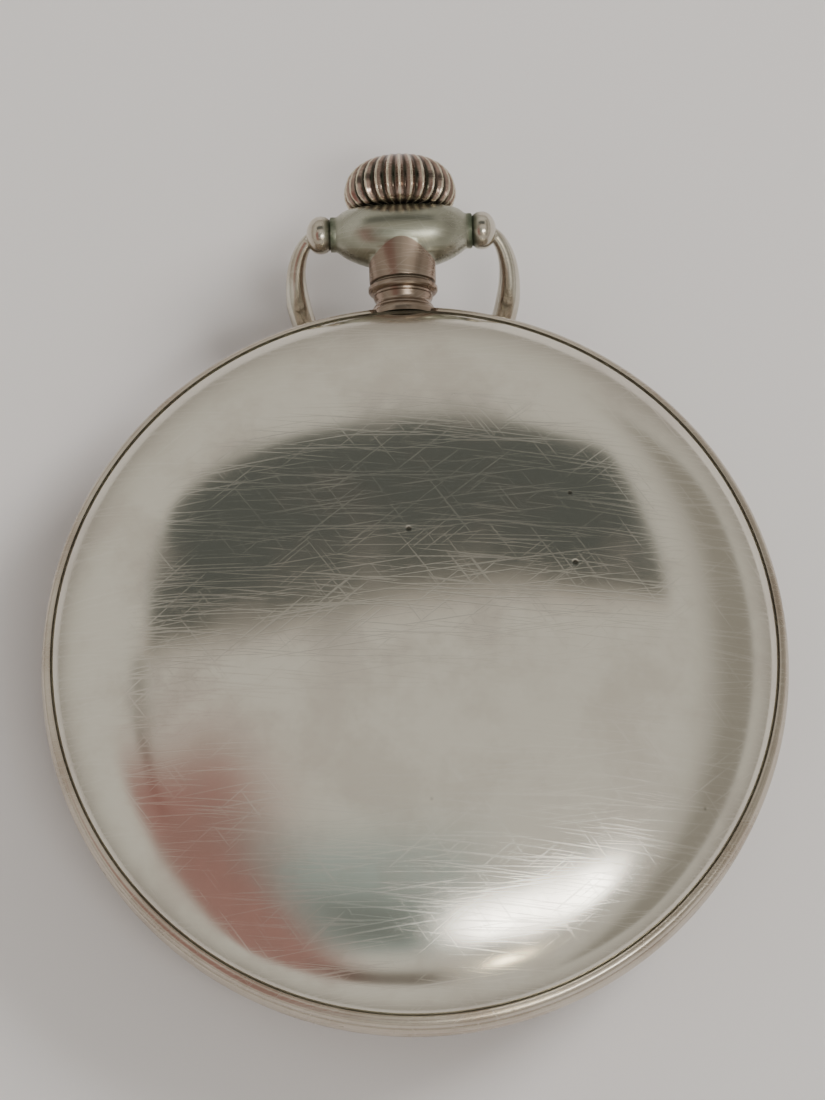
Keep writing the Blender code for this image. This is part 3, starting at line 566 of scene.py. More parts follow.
def crown_metal():
    """Copper showing through silver on the ribs, with a painted highlight on each crest and dirt
    with painted shade in the grooves.
    """
    made = worn_silver("crown_copper", (0.42, 0.30, 0.255), (0.31, 0.225, 0.185), 0.17, 0.4, 0.9)
    tree = made.node_tree
    place = object_place(tree)
    centred = wired(tree, "ShaderNodeMapping", Vector=place, Location=(0.0, 0.0, -STEM_Z * MM))
    x, _, z = split(centred.outputs[0])
    around = calc("ARCTAN2", z, x)
    crest = calc("ABSOLUTE", calc("COSINE", times(around, RIBS / 2)))
    away = length_of(x, z)
    on_side = ramp_between(away, 0.0012, 0.0026)
    # Painted shade, with dirt: the grooves between the ribs are darkened.
    groove_shade = times(rest_of(ramp_between(crest, 0.2, 0.85)), on_side)
    blotch = clouds(place, 700.0, 3.0)
    dirt_and_shade = mixed(ramp_between(blotch, 0.4, 0.6), (0.045, 0.05, 0.035), (0.10, 0.075, 0.06))
    base = fed(made, "Base Color")
    # Painted highlight: a thin pale line along the crest of each rib.
    crest_highlight = mixed(ramp_between(crest, 0.9, 0.985), base, (0.74, 0.66, 0.53))
    feed(made, "Base Color", mixed(groove_shade, crest_highlight, dirt_and_shade))
    return made


crown = turned("crown_button", CROWN, crown_metal(), RIBS * RIB_STEPS, False, "Y", STEM, 50.0)
for vertex in crown.data.vertices:
    across, out = vertex.co.x, vertex.co.z - STEM_Z * MM
    radius = hypot(across, out)
    if radius > 1e-6:
        off_crest = sin(atan2(out, across) * RIBS / 2)
        crest = 1.12 - 1.12 * (off_crest ** 2 + 0.0125) ** 0.5
        share = min(1.0, max(0.0, (radius / MM - 1.3) / 2.0))
        kept = 1 - RIB_DEPTH * MM / radius * share * (1 - crest)
        vertex.co.x = across * kept
        vertex.co.z = STEM_Z * MM + out * kept
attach(crown, "crown")
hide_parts("crown")

# --- Bow ---
# A loop of silver wire that tapers toward its ends and finishes in two balls, which turn on the
# ends of the cross boss. It is folded down behind the case.
bow_silver = worn_silver("bow_silver", (0.66, 0.63, 0.55), (0.48, 0.42, 0.34), 0.13, 0.5, 0.5)
green_seam(bow_silver)
BALL_X = 5.5
FOLD = radians(38.0)


def heading(path, k):
    """Which way a path runs at one of its points."""
    return Vector(path[min(k + 1, len(path) - 1)]) - Vector(path[max(k - 1, 0)])


def skinned(name, shape, rows, finish, sharp):
    """Joins rings of points into one smooth piece, with a face across each end."""
    count = len(rows[0])
    for lower, upper in zip(rows, rows[1:]):
        for n in range(count):
            m = (n + 1) % count
            shape.faces.new((lower[n], lower[m], upper[m], upper[n]))
    shape.faces.new(rows[0])
    shape.faces.new(rows[-1])
    bmesh.ops.recalc_face_normals(shape, faces=shape.faces)
    return link(smooth(mesh_of(shape, name, finish), sharp), name)


def swept(name, path, radii, finish, steps=40):
    """A round wire along a path in millimetres, thicker or thinner on the way."""
    shape = bmesh.new()
    turns = [2 * pi * n / steps for n in range(steps)]
    rows = []
    side = None
    for k, point in enumerate(path):
        ahead = heading(path, k).normalized()
        side = ahead.orthogonal() if side is None else side - ahead * side.dot(ahead)
        side.normalize()
        other = ahead.cross(side)
        centre = Vector(point) * MM
        points = [centre + (side * cos(a) + other * sin(a)) * radii[k] * MM for a in turns]
        rows.append([shape.verts.new(point) for point in points])
    return skinned(name, shape, rows, finish, 50.0)


def bow_point(across, out):
    """A point of the folded bow from its place in its own flat plane."""
    return (across, BOW_Y - out * cos(FOLD), STEM_Z - out * sin(FOLD))


BOW_HALF = 7.3
BOW_LONG = 12.0
BOW_WIDEST = 3.4
BALL_R = 1.3
BOW_START = 5.6
side_curve = []
for k in range(13):
    turn = radians(-90 + 7.5 * k)
    across = BOW_START + (BOW_HALF - BOW_START) * cos(turn)
    side_curve.append((across, BOW_WIDEST * (1 + sin(turn))))
for k in range(1, 37):
    turn = radians(2.5 * k)
    side_curve.append((BOW_HALF * cos(turn), BOW_WIDEST + (BOW_LONG - BOW_WIDEST) * sin(turn)))
loop = side_curve + [(-across, out) for across, out in reversed(side_curve[:-1])]
thickness = [0.42 + 0.41 * min(1.0, out / 5.0) for _, out in loop]
bow = swept("bow_wire", [bow_point(across, out) for across, out in loop], thickness, bow_silver)
ball_sides = []
for k in range(33):
    turn = pi * k / 32
    flattening = 1 - 0.06 * sin(2 * turn) ** 2
    ball_sides.append((BALL_R * sin(turn) ** 0.75, 0.97 * cos(turn) * flattening))
balls = []
for side in (-1, 1):
    middle = (side * BALL_X, BOW_Y, STEM_Z)
    balls.append(turned(f"ball_{side}", ball_sides, bow_silver, 48, False, "X", middle))
join(bow, *balls)
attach(bow, "bow")
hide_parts("bow")

# --- Bezel and crystal ---
# A fixed bezel closes the dial side. It is turned with a rolled lip, and a dished glass crystal
# with a flat centre is pressed into its seat.
bezel_profile = [(21.5, 5.62), (24.4, 5.62), (24.55, 5.52)]
bezel_profile += half_round((24.42, 5.28), 0.16, 0.24, 8)
bezel_profile += [(24.3, 4.92), (24.12, 4.66), (23.7, 4.26), (23.1, 3.78), (22.5, 3.36),
                  (22.1, 3.1), (21.8, 2.93), (21.55, 2.8), (21.3, 2.76), (21.12, 2.82),
                  (21.02, 2.96), (21.0, 3.15), (21.0, 4.0), (20.72, 4.2), (20.72, 5.2),
                  (21.5, 5.4)]
bezel = turned("bezel_ring", bezel_profile, band_silver, 256, True)
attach(bezel, "case")
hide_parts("bezel")

glass = new_material("crystal_glass", (0.96, 0.975, 0.97), 0.02, 0.0)
for socket, value in (("Transmission Weight", 1.0), ("IOR", 1.52), ("Alpha", 0.45)):
    shader_of(glass).inputs[socket].default_value = value
tree = glass.node_tree
haze = clouds(object_place(tree), 800.0, 5.0)
haze = times(ramp_between(haze, 0.5, 0.8), 0.05)
feed(glass, "Roughness", plus(haze, 0.015))
FLAT_R = 11.5
EDGE_R = 20.9
GLASS_RISE = 2.4
GLASS_WALL = 1.1


def glass_height(radius):
    """The height of the crystal's outer face."""
    return GLASS_RISE * max(0.0, (radius - FLAT_R) / (EDGE_R - FLAT_R)) ** 2


GLASS_STEPS = 40
outside = [(EDGE_R * k / GLASS_STEPS, glass_height(EDGE_R * k / GLASS_STEPS))
           for k in range(GLASS_STEPS)]
rim = [(20.8, 2.36), (20.88, 2.44), (20.9, 2.6), (20.9, 3.3), (20.86, 3.44), (20.75, 3.5)]
inside = [(radius, level + GLASS_WALL) for radius, level in reversed(outside)]
crystal = turned("watch_glass", outside + rim + inside, glass, 192, sharp=50.0)
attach(crystal, "case")
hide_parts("crystal")

# --- Dial ---
# White fired enamel on copper with a glossy, slightly wavy face. The numbers, the minute track
# and the small seconds track are printed in black. It faces the crystal, so it reads from below.
DIAL_FACE = 4.4
DIAL_BACK = 5.1
PRINT = 0.02
FOURTH_Y = -10.498
NUMBER_R = 15.2
NUMBER_SIZE = 4.3
TRACK_R = 18.75


def clouded(made, scale, detail, low, high, colour, shade):
    """Lets a material's colour drift into a shade in soft clouds, and returns the clouds."""
    tree = made.node_tree
    cloud = clouds(object_place(tree), scale, detail)
    feed(made, "Base Color", mixed(ramp_between(cloud, low, high), colour, shade))
    return cloud


def enamel_white():
    """Warm white glass enamel with faint clouding and a hairline or two."""
    made = new_material("dial_enamel", (0.86, 0.85, 0.80), 0.16, 0.0)
    cloud = clouded(made, 150.0, 4.0, 0.4, 0.7, (0.87, 0.86, 0.82), (0.80, 0.77, 0.69))
    tree = made.node_tree
    edges = {"feature": "DISTANCE_TO_EDGE"}
    crack = wired(tree, "ShaderNodeTexVoronoi", edges, Vector=object_place(tree), Scale=60.0)
    crack = rest_of(ramp_between(crack.outputs[0], 0.0, 0.006))
    tone = mixed(times(crack, 0.35), fed(made, "Base Color"), (0.35, 0.30, 0.25))
    feed(made, "Base Color", tone)
    bumped(made, cloud, 0.2, 0.00005)
    return made


def new_tree(name, **kinds):
    """A Geometry Nodes tree that takes inputs of the named kinds: the tree and its inputs."""
    tree = bpy.data.node_groups.new(name + "_nodes", "GeometryNodeTree")
    tree.interface.new_socket("Geometry", in_out="OUTPUT", socket_type="NodeSocketGeometry")
    for label, kind in kinds.items():
        tree.interface.new_socket(label, in_out="INPUT", socket_type="NodeSocket" + kind)
    return tree, tree.nodes.new("NodeGroupInput").outputs


def grown(name, tree, placed, finish, values, **chosen):
    """Makes the copies that a tree places real and gives them a metal, as one plain mesh."""
    whole = wired(tree, "GeometryNodeRealizeInstances", Geometry=placed.outputs[0]).outputs[0]
    made = wired(tree, "GeometryNodeSetMaterial", Geometry=whole, Material=finish, **chosen)
    tree.links.new(made.outputs[0], tree.nodes.new("NodeGroupOutput").inputs[0])
    carrier = link(bpy.data.meshes.new(name), name)
    step = carrier.modifiers.new("repeat", "NODES")
    step.node_group = tree
    for item in tree.interface.items_tree:
        if item.name in values:
            step[item.identifier] = values[item.name]
    settle(carrier)
    return carrier


def ring_of(name, part, count, radius, finish):
    """Repeats a mesh round a circle about Z."""
    tree, given = new_tree(name, Part="Object", Count="Int", Radius="Float", Finish="Material")
    circle = wired(tree, "GeometryNodeMeshCircle", Vertices=given["Count"], Radius=given["Radius"])
    index = tree.nodes.new("GeometryNodeInputIndex").outputs[0]
    turn = calc("DIVIDE", times(index, 2 * pi), given["Count"])
    facing_out = wired(tree, "ShaderNodeCombineXYZ", Z=turn)
    info = wired(tree, "GeometryNodeObjectInfo", Object=given["Part"])
    placed = wired(tree, "GeometryNodeInstanceOnPoints", Points=circle.outputs[0],
                   Instance=info.outputs["Geometry"], Rotation=facing_out.outputs[0])
    source = link(part, name + "_part")
    values = {"Part": source, "Count": count, "Radius": radius * MM, "Finish": finish}
    carrier = grown(name, tree, placed, given["Finish"], values)
    discard(source)
    return carrier


def gather(name, pieces, sharp=40.0):
    """Puts several pieces into one mesh without changing their shapes."""
    finishes = []
    shape = bmesh.new()
    for piece in pieces:
        start = len(shape.faces)
        shape.from_mesh(piece.data)
        shape.faces.ensure_lookup_table()
        slots = list(piece.data.materials)
        for finish in slots:
            if finish not in finishes:
                finishes.append(finish)
        for face in shape.faces[start:]:
            face.material_index = finishes.index(slots[min(face.material_index, len(slots) - 1)])
    mesh = mesh_of(shape, name, *finishes)
    mesh.set_sharp_from_angle(angle=radians(sharp))
    discard(*pieces)
    return link(mesh, name)


def shifted(piece, x, y, z):
    """Moves a piece's mesh, in millimetres."""
    piece.data.transform(Matrix.Translation((x * MM, y * MM, z * MM)))
    return piece


def numeral(text, size, place, finish):
    """A printed number on the dial, mirrored so that it reads from below."""
    name = "number_" + text
    curve = bpy.data.curves.new(name, "FONT")
    curve.body = text
    curve.size = size * MM
    curve.extrude = PRINT / 2 * MM
    curve.align_x = "CENTER"
    curve.align_y = "CENTER"
    holder = link(curve, name)
    mesh = baked(holder)
    discard(holder)
    spot = Vector((*place, DIAL_FACE - PRINT / 2)) * MM
    mesh.transform(Matrix.Translation(spot) @ Matrix.Rotation(pi, 4, "Y"))
    mesh.materials.clear()
    mesh.materials.append(finish)
    return link(mesh, name)


def printed_line(name, radius, half, steps, centre=ORIGIN):
    """A printed circle on the dial, reaching half its width to each side of its radius."""
    edge = [(radius - half, DIAL_FACE), (radius + half, DIAL_FACE),
            (radius + half, DIAL_FACE - PRINT), (radius - half, DIAL_FACE - PRINT)]
    return turned(name, edge, black, steps, True, "Z", centre)


enamel = enamel_white()
black = new_material("dial_print", (0.015, 0.015, 0.018), 0.4, 0.0)
clouded(black, 2500.0, 3.0, 0.45, 0.75, (0.012, 0.012, 0.015), (0.05, 0.05, 0.055))
dial_edge = [(1.35, DIAL_FACE), (20.2, DIAL_FACE), (20.35, DIAL_FACE + 0.06),
             (20.4, DIAL_FACE + 0.2), (20.4, DIAL_BACK), (1.35, DIAL_BACK)]
dial = turned("enamel_dial", dial_edge, enamel, 192, True)
cut(dial, bar("seconds_hole", 0.5, 4.0, 5.5, enamel, (0.0, FOURTH_Y, 0.0)))
printing = [dial]
for hour in range(1, 13):
    if hour != 6:
        angle = pi / 2 + hour * pi / 6
        spot = (NUMBER_R * cos(angle), NUMBER_R * sin(angle))
        printing.append(numeral(str(hour), NUMBER_SIZE, spot, black))
for label, size, count, radius, middle_y, drop in (
        ("minute", (0.9, 0.09), 60, TRACK_R, 0.0, 0.0),
        ("hour", (1.0, 0.3), 12, TRACK_R, 0.0, 0.002),
        ("seconds", (0.55, 0.06), 60, 3.7, FOURTH_Y, 0.0),
        ("tens", (0.85, 0.12), 6, 3.55, FOURTH_Y, 0.002)):
    mark = block_mesh(label + "_mark", (*size, PRINT), black)
    marks = ring_of(label + "_marks", mark, count, radius, black)
    printing.append(shifted(marks, 0.0, middle_y, DIAL_FACE - PRINT / 2 - drop))
for radius in (TRACK_R - 0.5, TRACK_R + 0.5):
    printing.append(printed_line("track_line", radius, 0.04, 192))
printing.append(printed_line("seconds_line", 4.01, 0.03, 96, (0.0, FOURTH_Y, 0.0)))
dial = gather("printed_dial", printing)
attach(dial, "case")
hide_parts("dial")

# --- Frame of the movement ---
# The main plate and the bridges are nickel, plated with rhodium. The plate is covered with small
# overlapping spots, the bridges carry broad rubbed stripes, and every edge is bevelled bright. Each
# spot and stripe is shaded from light to dark in painted sheen.
BEVEL_FROM = 30.0


def softened(name, node, finish, width=0.0):
    """The CAD piece's shape with its straight edges bevelled, as a new piece."""
    shape = bmesh.new()
    shape.from_mesh(nodes[node].data)
    bmesh.ops.remove_doubles(shape, verts=shape.verts, dist=0.001 * MM)
    bmesh.ops.dissolve_limit(shape, angle_limit=radians(1), verts=shape.verts, edges=shape.edges)
    for face in shape.faces:
        face.material_index = 0
    piece = link(mesh_of(shape, name, finish), name)
    if width:
        step = piece.modifiers.new("bevel", "BEVEL")
        step.width = width * MM
        step.segments = 2
        step.limit_method = "ANGLE"
        step.angle_limit = radians(BEVEL_FROM)
        settle(piece)
    smooth(piece.data, BEVEL_FROM)
    return piece


def striped_nickel(name, turn, width):
    """Plated nickel in broad parallel stripes of fine curved rubbing marks, each with a painted
    sheen from light to dark.
    """
    made = new_material(name, (0.72, 0.70, 0.66), 0.22)
    tree = made.node_tree
    place = object_place(tree)
    laid = laid_at(place, turn)
    x, y, _ = split(laid)
    stripe = calc("FRACT", calc("DIVIDE", x, width * MM))
    off_middle = minus(stripe, 0.5)
    rise = times(off_middle, off_middle)
    bent = plus(y, times(rise, 1.2 * MM))
    rubbed = wired(tree, "ShaderNodeCombineXYZ", X=times(stripe, 0.6 * MM), Y=bent)
    marks = clouds(rubbed.outputs[0], 9000.0, 2.0)
    # Painted sheen: each stripe runs from light at one edge to dark at the other.
    tone = mixed(ramp_between(stripe, 0.0, 1.0), (0.80, 0.785, 0.74), (0.54, 0.525, 0.50))
    feed(made, "Base Color", tone)
    rough = plus(0.17, times(marks, 0.16))
    feed(made, "Roughness", rough)
    tilt = plus(times(rise, 3.0), times(marks, 0.35))
    bumped(made, tilt, 0.6, 0.00005)
    return made


def spotted_nickel(name):
    """Plated nickel covered with small overlapping rubbed spots, each with a painted sheen, light
    in the middle and darker at its edge.
    """
    made = new_material(name, (0.70, 0.68, 0.63), 0.25)
    tree = made.node_tree
    place = object_place(tree)
    flat_place = wired(tree, "ShaderNodeMapping", Vector=place, Scale=(1.0, 1.0, 0.0))
    cells = wired(tree, "ShaderNodeTexVoronoi", Vector=flat_place.outputs[0], Scale=1350.0,
                  Randomness=0.12).outputs["Distance"]
    swirl = calc("SINE", times(cells, 26.0))
    # Painted sheen: each spot is light in the middle and darker at its edge.
    tone = mixed(ramp_between(cells, 0.1, 0.7), (0.78, 0.76, 0.71), (0.55, 0.53, 0.49))
    feed(made, "Base Color", tone)
    relief = plus(cells, times(swirl, 0.12))
    bumped(made, relief, 0.35, 0.00003)
    return made


bridge_nickel = striped_nickel("bridge_nickel", 28.0, 1.9)
plate_nickel = spotted_nickel("plate_nickel")
plate = softened("plate", "main_plate", plate_nickel)
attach(plate, "case")
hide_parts("main_plate")
for node in ("barrel_bridge", "train_bridge", "balance_cock", "pallet_bridge"):
    bridge = softened("striped_" + node, node, bridge_nickel, 0.1)
    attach(bridge, "case")
    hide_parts(node)

# --- Screws ---
# Heat blued steel screws with polished, slotted heads hold the bridges, the ratchet and crown
# wheels, and the movement in the case. The steel has a violet bloom here and there.
blue = new_material("blued_steel", (0.03, 0.07, 0.30), 0.16)
clouded(blue, 420.0, 3.0, 0.35, 0.7, (0.025, 0.075, 0.34), (0.075, 0.045, 0.22))
tree = blue.node_tree
fine = clouds(object_place(tree), 5000.0, 2.0)
feed(blue, "Roughness", plus(0.1, times(fine, 0.14)))


def middle_of(node):
    """The middle of a CAD node, seen from above, in millimetres."""
    low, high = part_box(node)
    return ((low.x + high.x) / 2 / MM, (low.y + high.y) / 2 / MM)


def screw_head(name, node):
    """A CAD screw with its head turned finely, domed a little and slotted."""
    low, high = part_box(node)
    bottom, top = low.z / MM, high.z / MM
    x, y = middle_of(node)
    corners = [Vector(v.co) / MM for v in nodes[node].data.vertices]
    spans = [(hypot(c.x - x, c.y - y), c.z) for c in corners]
    radius = max(away for away, level in spans if level > top - 0.05)
    shoulder = min(round(level, 3) for away, level in spans if away > radius * 0.8)
    shank = [away for away, level in spans if level < shoulder - 0.01]
    neck_r = max(shank, default=radius * 0.5)
    sides = [(0.0, top), (radius * 0.72, top), (radius * 0.9, top - 0.03), (radius, top - 0.12),
             (radius, shoulder), (neck_r, shoulder), (neck_r, bottom), (0.0, bottom)]
    made = turned(name, sides, blue, 40, False, "Z", (x, y, 0.0))
    turn = radians(sum(ord(letter) for letter in name) * 37 % 180)
    slot_end = (radius * 1.2, radius * 0.13)
    slot_start = (-slot_end[0], -slot_end[1])
    slot = slab_cutter("slot", (*slot_start, top - 0.16), (*slot_end, top + 0.1), blue)
    slot.data.transform(Matrix.Translation((x * MM, y * MM, 0.0)) @ Matrix.Rotation(turn, 4, "Z"))
    cut(made, slot)
    smooth(made.data, 35.0)
    return made


for name in [name for name in nodes if "_screw" in name]:
    piece = screw_head("slotted_" + name, name)
    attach(piece, "ratchet" if name == "ratchet_screw" else "case")
    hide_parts(name)

# --- Jewels ---
# Ruby ring jewels set in gold chatons stand at the pivots of the train and the lever. Each one is
# a dished ruby with a fine hole, pressed into a polished ring.
ruby = new_material("ruby", (0.50, 0.015, 0.06), 0.05, 0.0)
shader_of(ruby).inputs["Coat Weight"].default_value = 0.6
shader_of(ruby).inputs["Subsurface Weight"].default_value = 0.25
shader_of(ruby).inputs["Subsurface Radius"].default_value = (0.001, 0.0002, 0.0002)
clouded(ruby, 1500.0, 2.0, 0.35, 0.7, (0.55, 0.015, 0.07), (0.36, 0.01, 0.05))


def turned_metal(name, colour, shade, roughness, centre=ORIGIN, rings=9000.0, depth=0.25, rays=0.0):
    """Metal with fine turning rings, or rays, round one centre seen from above."""
    made = new_material(name, colour, roughness)
    clouded(made, 400.0, 4.0, 0.35, 0.7, colour, shade)
    tree = made.node_tree
    to_centre = (-centre[0] * MM, -centre[1] * MM, 0.0)
    centred = wired(tree, "ShaderNodeMapping", Vector=object_place(tree), Location=to_centre)
    x, y, _ = split(centred.outputs[0])
    away = length_of(x, y)
    around = calc("ARCTAN2", y, x)
    ring_line = wired(tree, "ShaderNodeCombineXYZ", X=times(away, rings),
                      Y=times(around, rays))
    lines = clouds(ring_line.outputs[0], 1.0, 3.0)
    feed(made, "Roughness", plus(roughness - 0.05, times(lines, 0.14)))
    bumped(made, lines, depth, 0.00002)
    return made


gold = turned_metal("chaton_gold", (0.86, 0.62, 0.27), (0.74, 0.50, 0.20), 0.14)


def jewel_part(radius):
    """One jewel in its chaton, standing on the origin."""
    rim_edge = [(0.62, 0.01), (0.66, 0.05), (0.8, 0.06), (0.95, 0.045), (1.0, 0.0), (1.0, -0.15),
                (0.62, -0.15)]
    chaton = turned("chaton", [(radius * out, level) for out, level in rim_edge], gold, 40, True)
    stone_edge = [(0.09, 0.0), (radius * 0.3, 0.0), (radius * 0.5, 0.025), (radius * 0.61, 0.02),
                  (radius * 0.61, -0.14), (0.09, -0.14)]
    stone = turned("stone", stone_edge, ruby, 40, True)
    return gather("jewel_part", [chaton, stone], 30.0)


def repeated(name, part, places):
    """Puts a copy of a piece at every one of a list of places in millimetres."""
    tree, given = new_tree(name, Places="Object", Part="Object", Setting="Material")
    spots, shape = (wired(tree, "GeometryNodeObjectInfo", Object=given[label]).outputs["Geometry"]
                    for label in ("Places", "Part"))
    placed = wired(tree, "GeometryNodeInstanceOnPoints", Points=spots, Instance=shape)
    slot_number = wired(tree, "GeometryNodeInputMaterialIndex").outputs[0]
    is_equal = {"data_type": "INT", "operation": "EQUAL"}
    is_rim = wired(tree, "FunctionNodeCompare", is_equal, i2=slot_number, i3=0).outputs[0]
    mesh = bpy.data.meshes.new(name + "_places")
    mesh.from_pydata([tuple(c * MM for c in place) for place in places], [], [])
    holder = link(mesh, name + "_places")
    values = {"Places": holder, "Part": part, "Setting": part.data.materials[0]}
    carrier = grown(name, tree, placed, given["Setting"], values, Selection=is_rim)
    discard(holder, part)
    return carrier


BRIDGE_TOP = 11.5
FOURTH = (0.0, FOURTH_Y)
THIRD = middle_of("third_wheel")
ESCAPE = middle_of("escape_wheel")
BALANCE = middle_of("balance_wheel")
BARREL = middle_of("barrel_drum")
CROWN_WHEEL = middle_of("crown_wheel")
PALLET = (-7.983, -10.142)
PALLET_TOP = 9.1
JEWELS = [(*THIRD, BRIDGE_TOP), (*FOURTH, BRIDGE_TOP), (*ESCAPE, BRIDGE_TOP),
          (*PALLET, PALLET_TOP), (0.0, 0.0, BRIDGE_TOP)]
jewels = repeated("jewels", jewel_part(0.85), JEWELS)
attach(jewels, "case")
cap_edge = [(0.0, 11.9), (0.55, 11.88), (0.6, 11.93), (0.8, 11.94), (0.95, 11.9), (1.0, 11.8),
            (1.0, 11.53), (0.0, 11.53)]
cap = turned("cap_jewel_setting", cap_edge, ruby, 48, False, "Z", (*BALANCE, 0.0), 30.0)
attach(cap, "case")
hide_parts("cap_jewel")

# --- Winding wheels ---
# The steel ratchet wheel and crown wheel lie on the barrel bridge. Their faces are brushed in
# rays, with a bright polished bevel on the teeth, and the click and its spring lock the ratchet.
RAYS = 55.0
ratchet_steel, crown_wheel_steel = (
    turned_metal(name, (0.60, 0.60, 0.61), (0.50, 0.50, 0.52), 0.2, centre, 300.0, 0.35, RAYS)
    for name, centre in (("ratchet_steel", BARREL), ("crown_wheel_steel", CROWN_WHEEL)))
plain_steel = turned_metal("polished_steel", (0.62, 0.62, 0.63), (0.50, 0.50, 0.51), 0.15,
                           (0.0, 0.0), 2500.0, 0.12)


def wear(node, body, finish, width=0.0):
    """A finished piece in place of one CAD node: its edges bevelled and its metal put on."""
    piece = softened("fine_" + node, node, finish, width)
    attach(piece, body)
    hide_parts(node)
    return piece


wear("ratchet_wheel", "ratchet", ratchet_steel, 0.09)
wear("crown_wheel", "crown_wheel", crown_wheel_steel, 0.09)
for node, body, width in (("click", "click", 0.08), ("barrel_arbor", "ratchet", 0.06),
                          ("crown_wheel_post", "case", 0.05)):
    wear(node, body, plain_steel, width)


def bent_strip(name, path, wide, low, high, finish):
    """A flat strip on edge along a path in millimetres, with bevelled edges."""
    shape = bmesh.new()
    soft = min(wide, high - low) * 0.2
    shy = 1 - 2 * soft / wide
    section = [(1, low + soft), (1, high - soft), (shy, high), (-shy, high),
               (-1, high - soft), (-1, low + soft), (-shy, low), (shy, low)]
    rows = []
    for k, point in enumerate(path):
        ahead = heading(path, k)
        side = Vector((-ahead.y, ahead.x)).normalized() * wide / 2
        corners = [(point[0] + side.x * out, point[1] + side.y * out, z) for out, z in section]
        rows.append([shape.verts.new([c * MM for c in corner]) for corner in corners])
    return skinned(name, shape, rows, finish, 30.0)


def around_path(centre, radius, start, end, steps):
    """Points round a circle, with the radius growing evenly when it is given as a pair."""
    first, last = radius if isinstance(radius, tuple) else (radius, radius)
    path = []
    for k in range(steps + 1):
        share = k / steps
        turn = radians(start + (end - start) * share)
        away = first + (last - first) * share
        path.append((centre[0] + away * cos(turn), centre[1] + away * sin(turn)))
    return path


click_path = around_path(BARREL, 10.75, 208, 232, 32)
click_spring = bent_strip("click_spring_wire", click_path, 0.28, 11.6, 12.0, blue)
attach(click_spring, "case")
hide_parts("click_spring")

# --- Barrel ---
# The toothed gilt drum and its cover are turned to fine rings. The steel mainspring is coiled
# inside, from the arbor to the drum's wall.
barrel_gilt = turned_metal("barrel_gilt", (0.83, 0.60, 0.27), (0.70, 0.47, 0.19), 0.2, BARREL)
wear("barrel_drum", "barrel", barrel_gilt, 0.04)
wear("barrel_cover", "barrel", barrel_gilt, 0.08)
SPRING_TURNS = 11
spring_path = around_path(BARREL, (1.7, 6.7), 0, 360 * SPRING_TURNS, 48 * SPRING_TURNS)
mainspring = bent_strip("coiled_mainspring", spring_path, 0.16, 9.35, 10.2, plain_steel)
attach(mainspring, "barrel")
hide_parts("mainspring")

# --- Keyless work ---
# The stem, the winding pinion and the sliding clutch wheel, moved by the setting lever and the
# yoke when the crown is pulled. All are polished steel with softened edges.
for node, body in (("winding_pinion", "winding_pinion"), ("clutch_wheel", "clutch"),
                   ("winding_stem", "crown"), ("setting_lever", "setting_lever"),
                   ("yoke", "yoke"), ("pendant_sleeve", "case")):
    wear(node, body, plain_steel, 0.05)
yoke_path = around_path((5.6, 6.3), 5.875, 20, 80, 32)
yoke_spring = bent_strip("yoke_spring_wire", yoke_path, 0.24, 8.1, 8.4, blue)
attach(yoke_spring, "case")
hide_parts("yoke_spring")

# --- Train ---
# Gilt brass wheels with crossed-out arms on steel pinions, each with fine turning rings round its
# own arbor, and a polished steel escape wheel.
RIM_THICKNESS = 0.25
for node, body, centre, rim_low in (("centre_wheel", "centre", (0.0, 0.0), 8.15),
                                    ("third_wheel", "third", THIRD, 9.6),
                                    ("fourth_wheel", "fourth", FOURTH, 8.95)):
    gilt = turned_metal(node + "_gilt", (0.86, 0.63, 0.29), (0.74, 0.51, 0.21), 0.2, centre)
    piece = wear(node, body, gilt, 0.0)
    piece.data.materials.append(plain_steel)
    for face in piece.data.polygons:
        level = face.center.z / MM
        away = hypot(face.center.x / MM - centre[0], face.center.y / MM - centre[1])
        if not rim_low - 0.01 <= level <= rim_low + RIM_THICKNESS + 0.01 or away < 0.3:
            face.material_index = 1
wear("escape_wheel", "escape", plain_steel, 0.03)

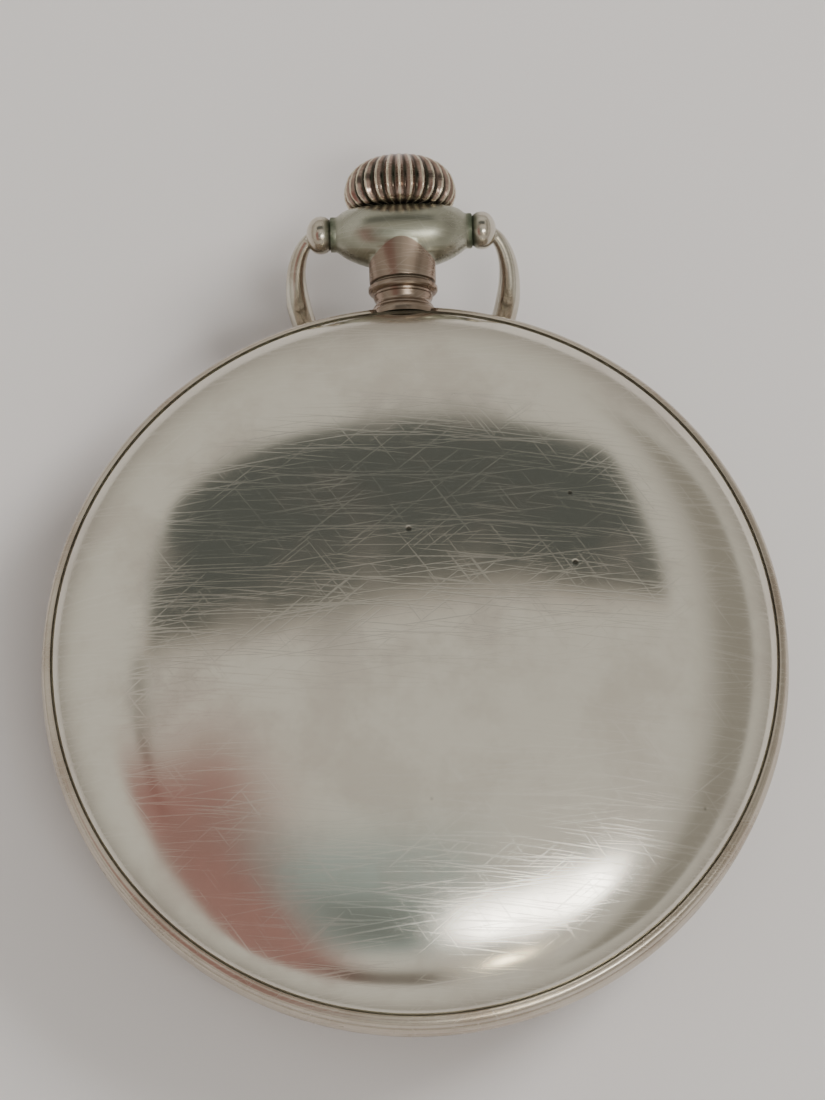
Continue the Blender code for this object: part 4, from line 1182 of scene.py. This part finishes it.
# --- Motion work ---
# The small wheels under the dial that drive the hour hand and couple the crown to the hands. The
# minute and hour wheels are gilt, the others are polished steel.
small_gilt = turned_metal("motion_gilt", (0.84, 0.61, 0.28), (0.70, 0.48, 0.20), 0.22)
for node, body in (("minute_wheel", "minute_wheel"), ("hour_wheel", "hour")):
    wear(node, body, small_gilt, 0.03)
for node, body in (("cannon_pinion", "centre"), ("setting_wheel", "setting_wheel"),
                   ("intermediate_wheel", "intermediate_wheel")):
    wear(node, body, plain_steel, 0.03)

# --- Escapement and balance ---
# A cut-rim balance with gilt screws swings over the steel pallet fork. A blued hairspring of a
# dozen fine coils ends in its stud under the cock.
for node, body, width in (("pallet_fork", "pallets", 0.05), ("balance_staff", "balance", 0.02),
                          ("impulse_roller", "balance", 0.05), ("hairspring_stud", "case", 0.03),
                          ("regulator", "regulator", 0.05)):
    wear(node, body, plain_steel, width)
balance_gilt = turned_metal("balance_gilt", (0.86, 0.63, 0.29), (0.72, 0.50, 0.21), 0.16, BALANCE)
RIM_SCREWS = 18
RIM_SCREW_R = 5.97
screw_edge = [(0.0, 0.0), (0.16, 0.0), (0.2, -0.03), (0.2, -0.32), (0.0, -0.32)]
rim_screw = turned("rim_screw", screw_edge, gold, 20, False, "X", (0.0, 0.0, 9.8))
rim_screws = ring_of("rim_screws", rim_screw.data, RIM_SCREWS, RIM_SCREW_R, gold)
discard(rim_screw)
balance = softened("balance_rim", "balance_wheel", balance_gilt, 0.06)
balance = gather("screwed_balance", [balance, shifted(rim_screws, *BALANCE, 0.0)], 30.0)
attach(balance, "balance")
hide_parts("balance_wheel")
COILS = 12
coils = around_path(BALANCE, (0.6, 4.0), 35, 35 + 360 * COILS, 56 * COILS)
hairspring = bent_strip("coiled_hairspring", coils, 0.05, 10.32, 10.48, blue)
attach(hairspring, "case")
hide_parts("hairspring")

# --- Hands ---
# Blued steel spade hands and a small seconds hand, between the dial and the crystal. Each one
# rides with the wheel that carries it.
for node, body in (("hour_hand", "hour"), ("minute_hand", "centre"), ("seconds_hand", "fourth")):
    wear(node, body, blue, 0.04)
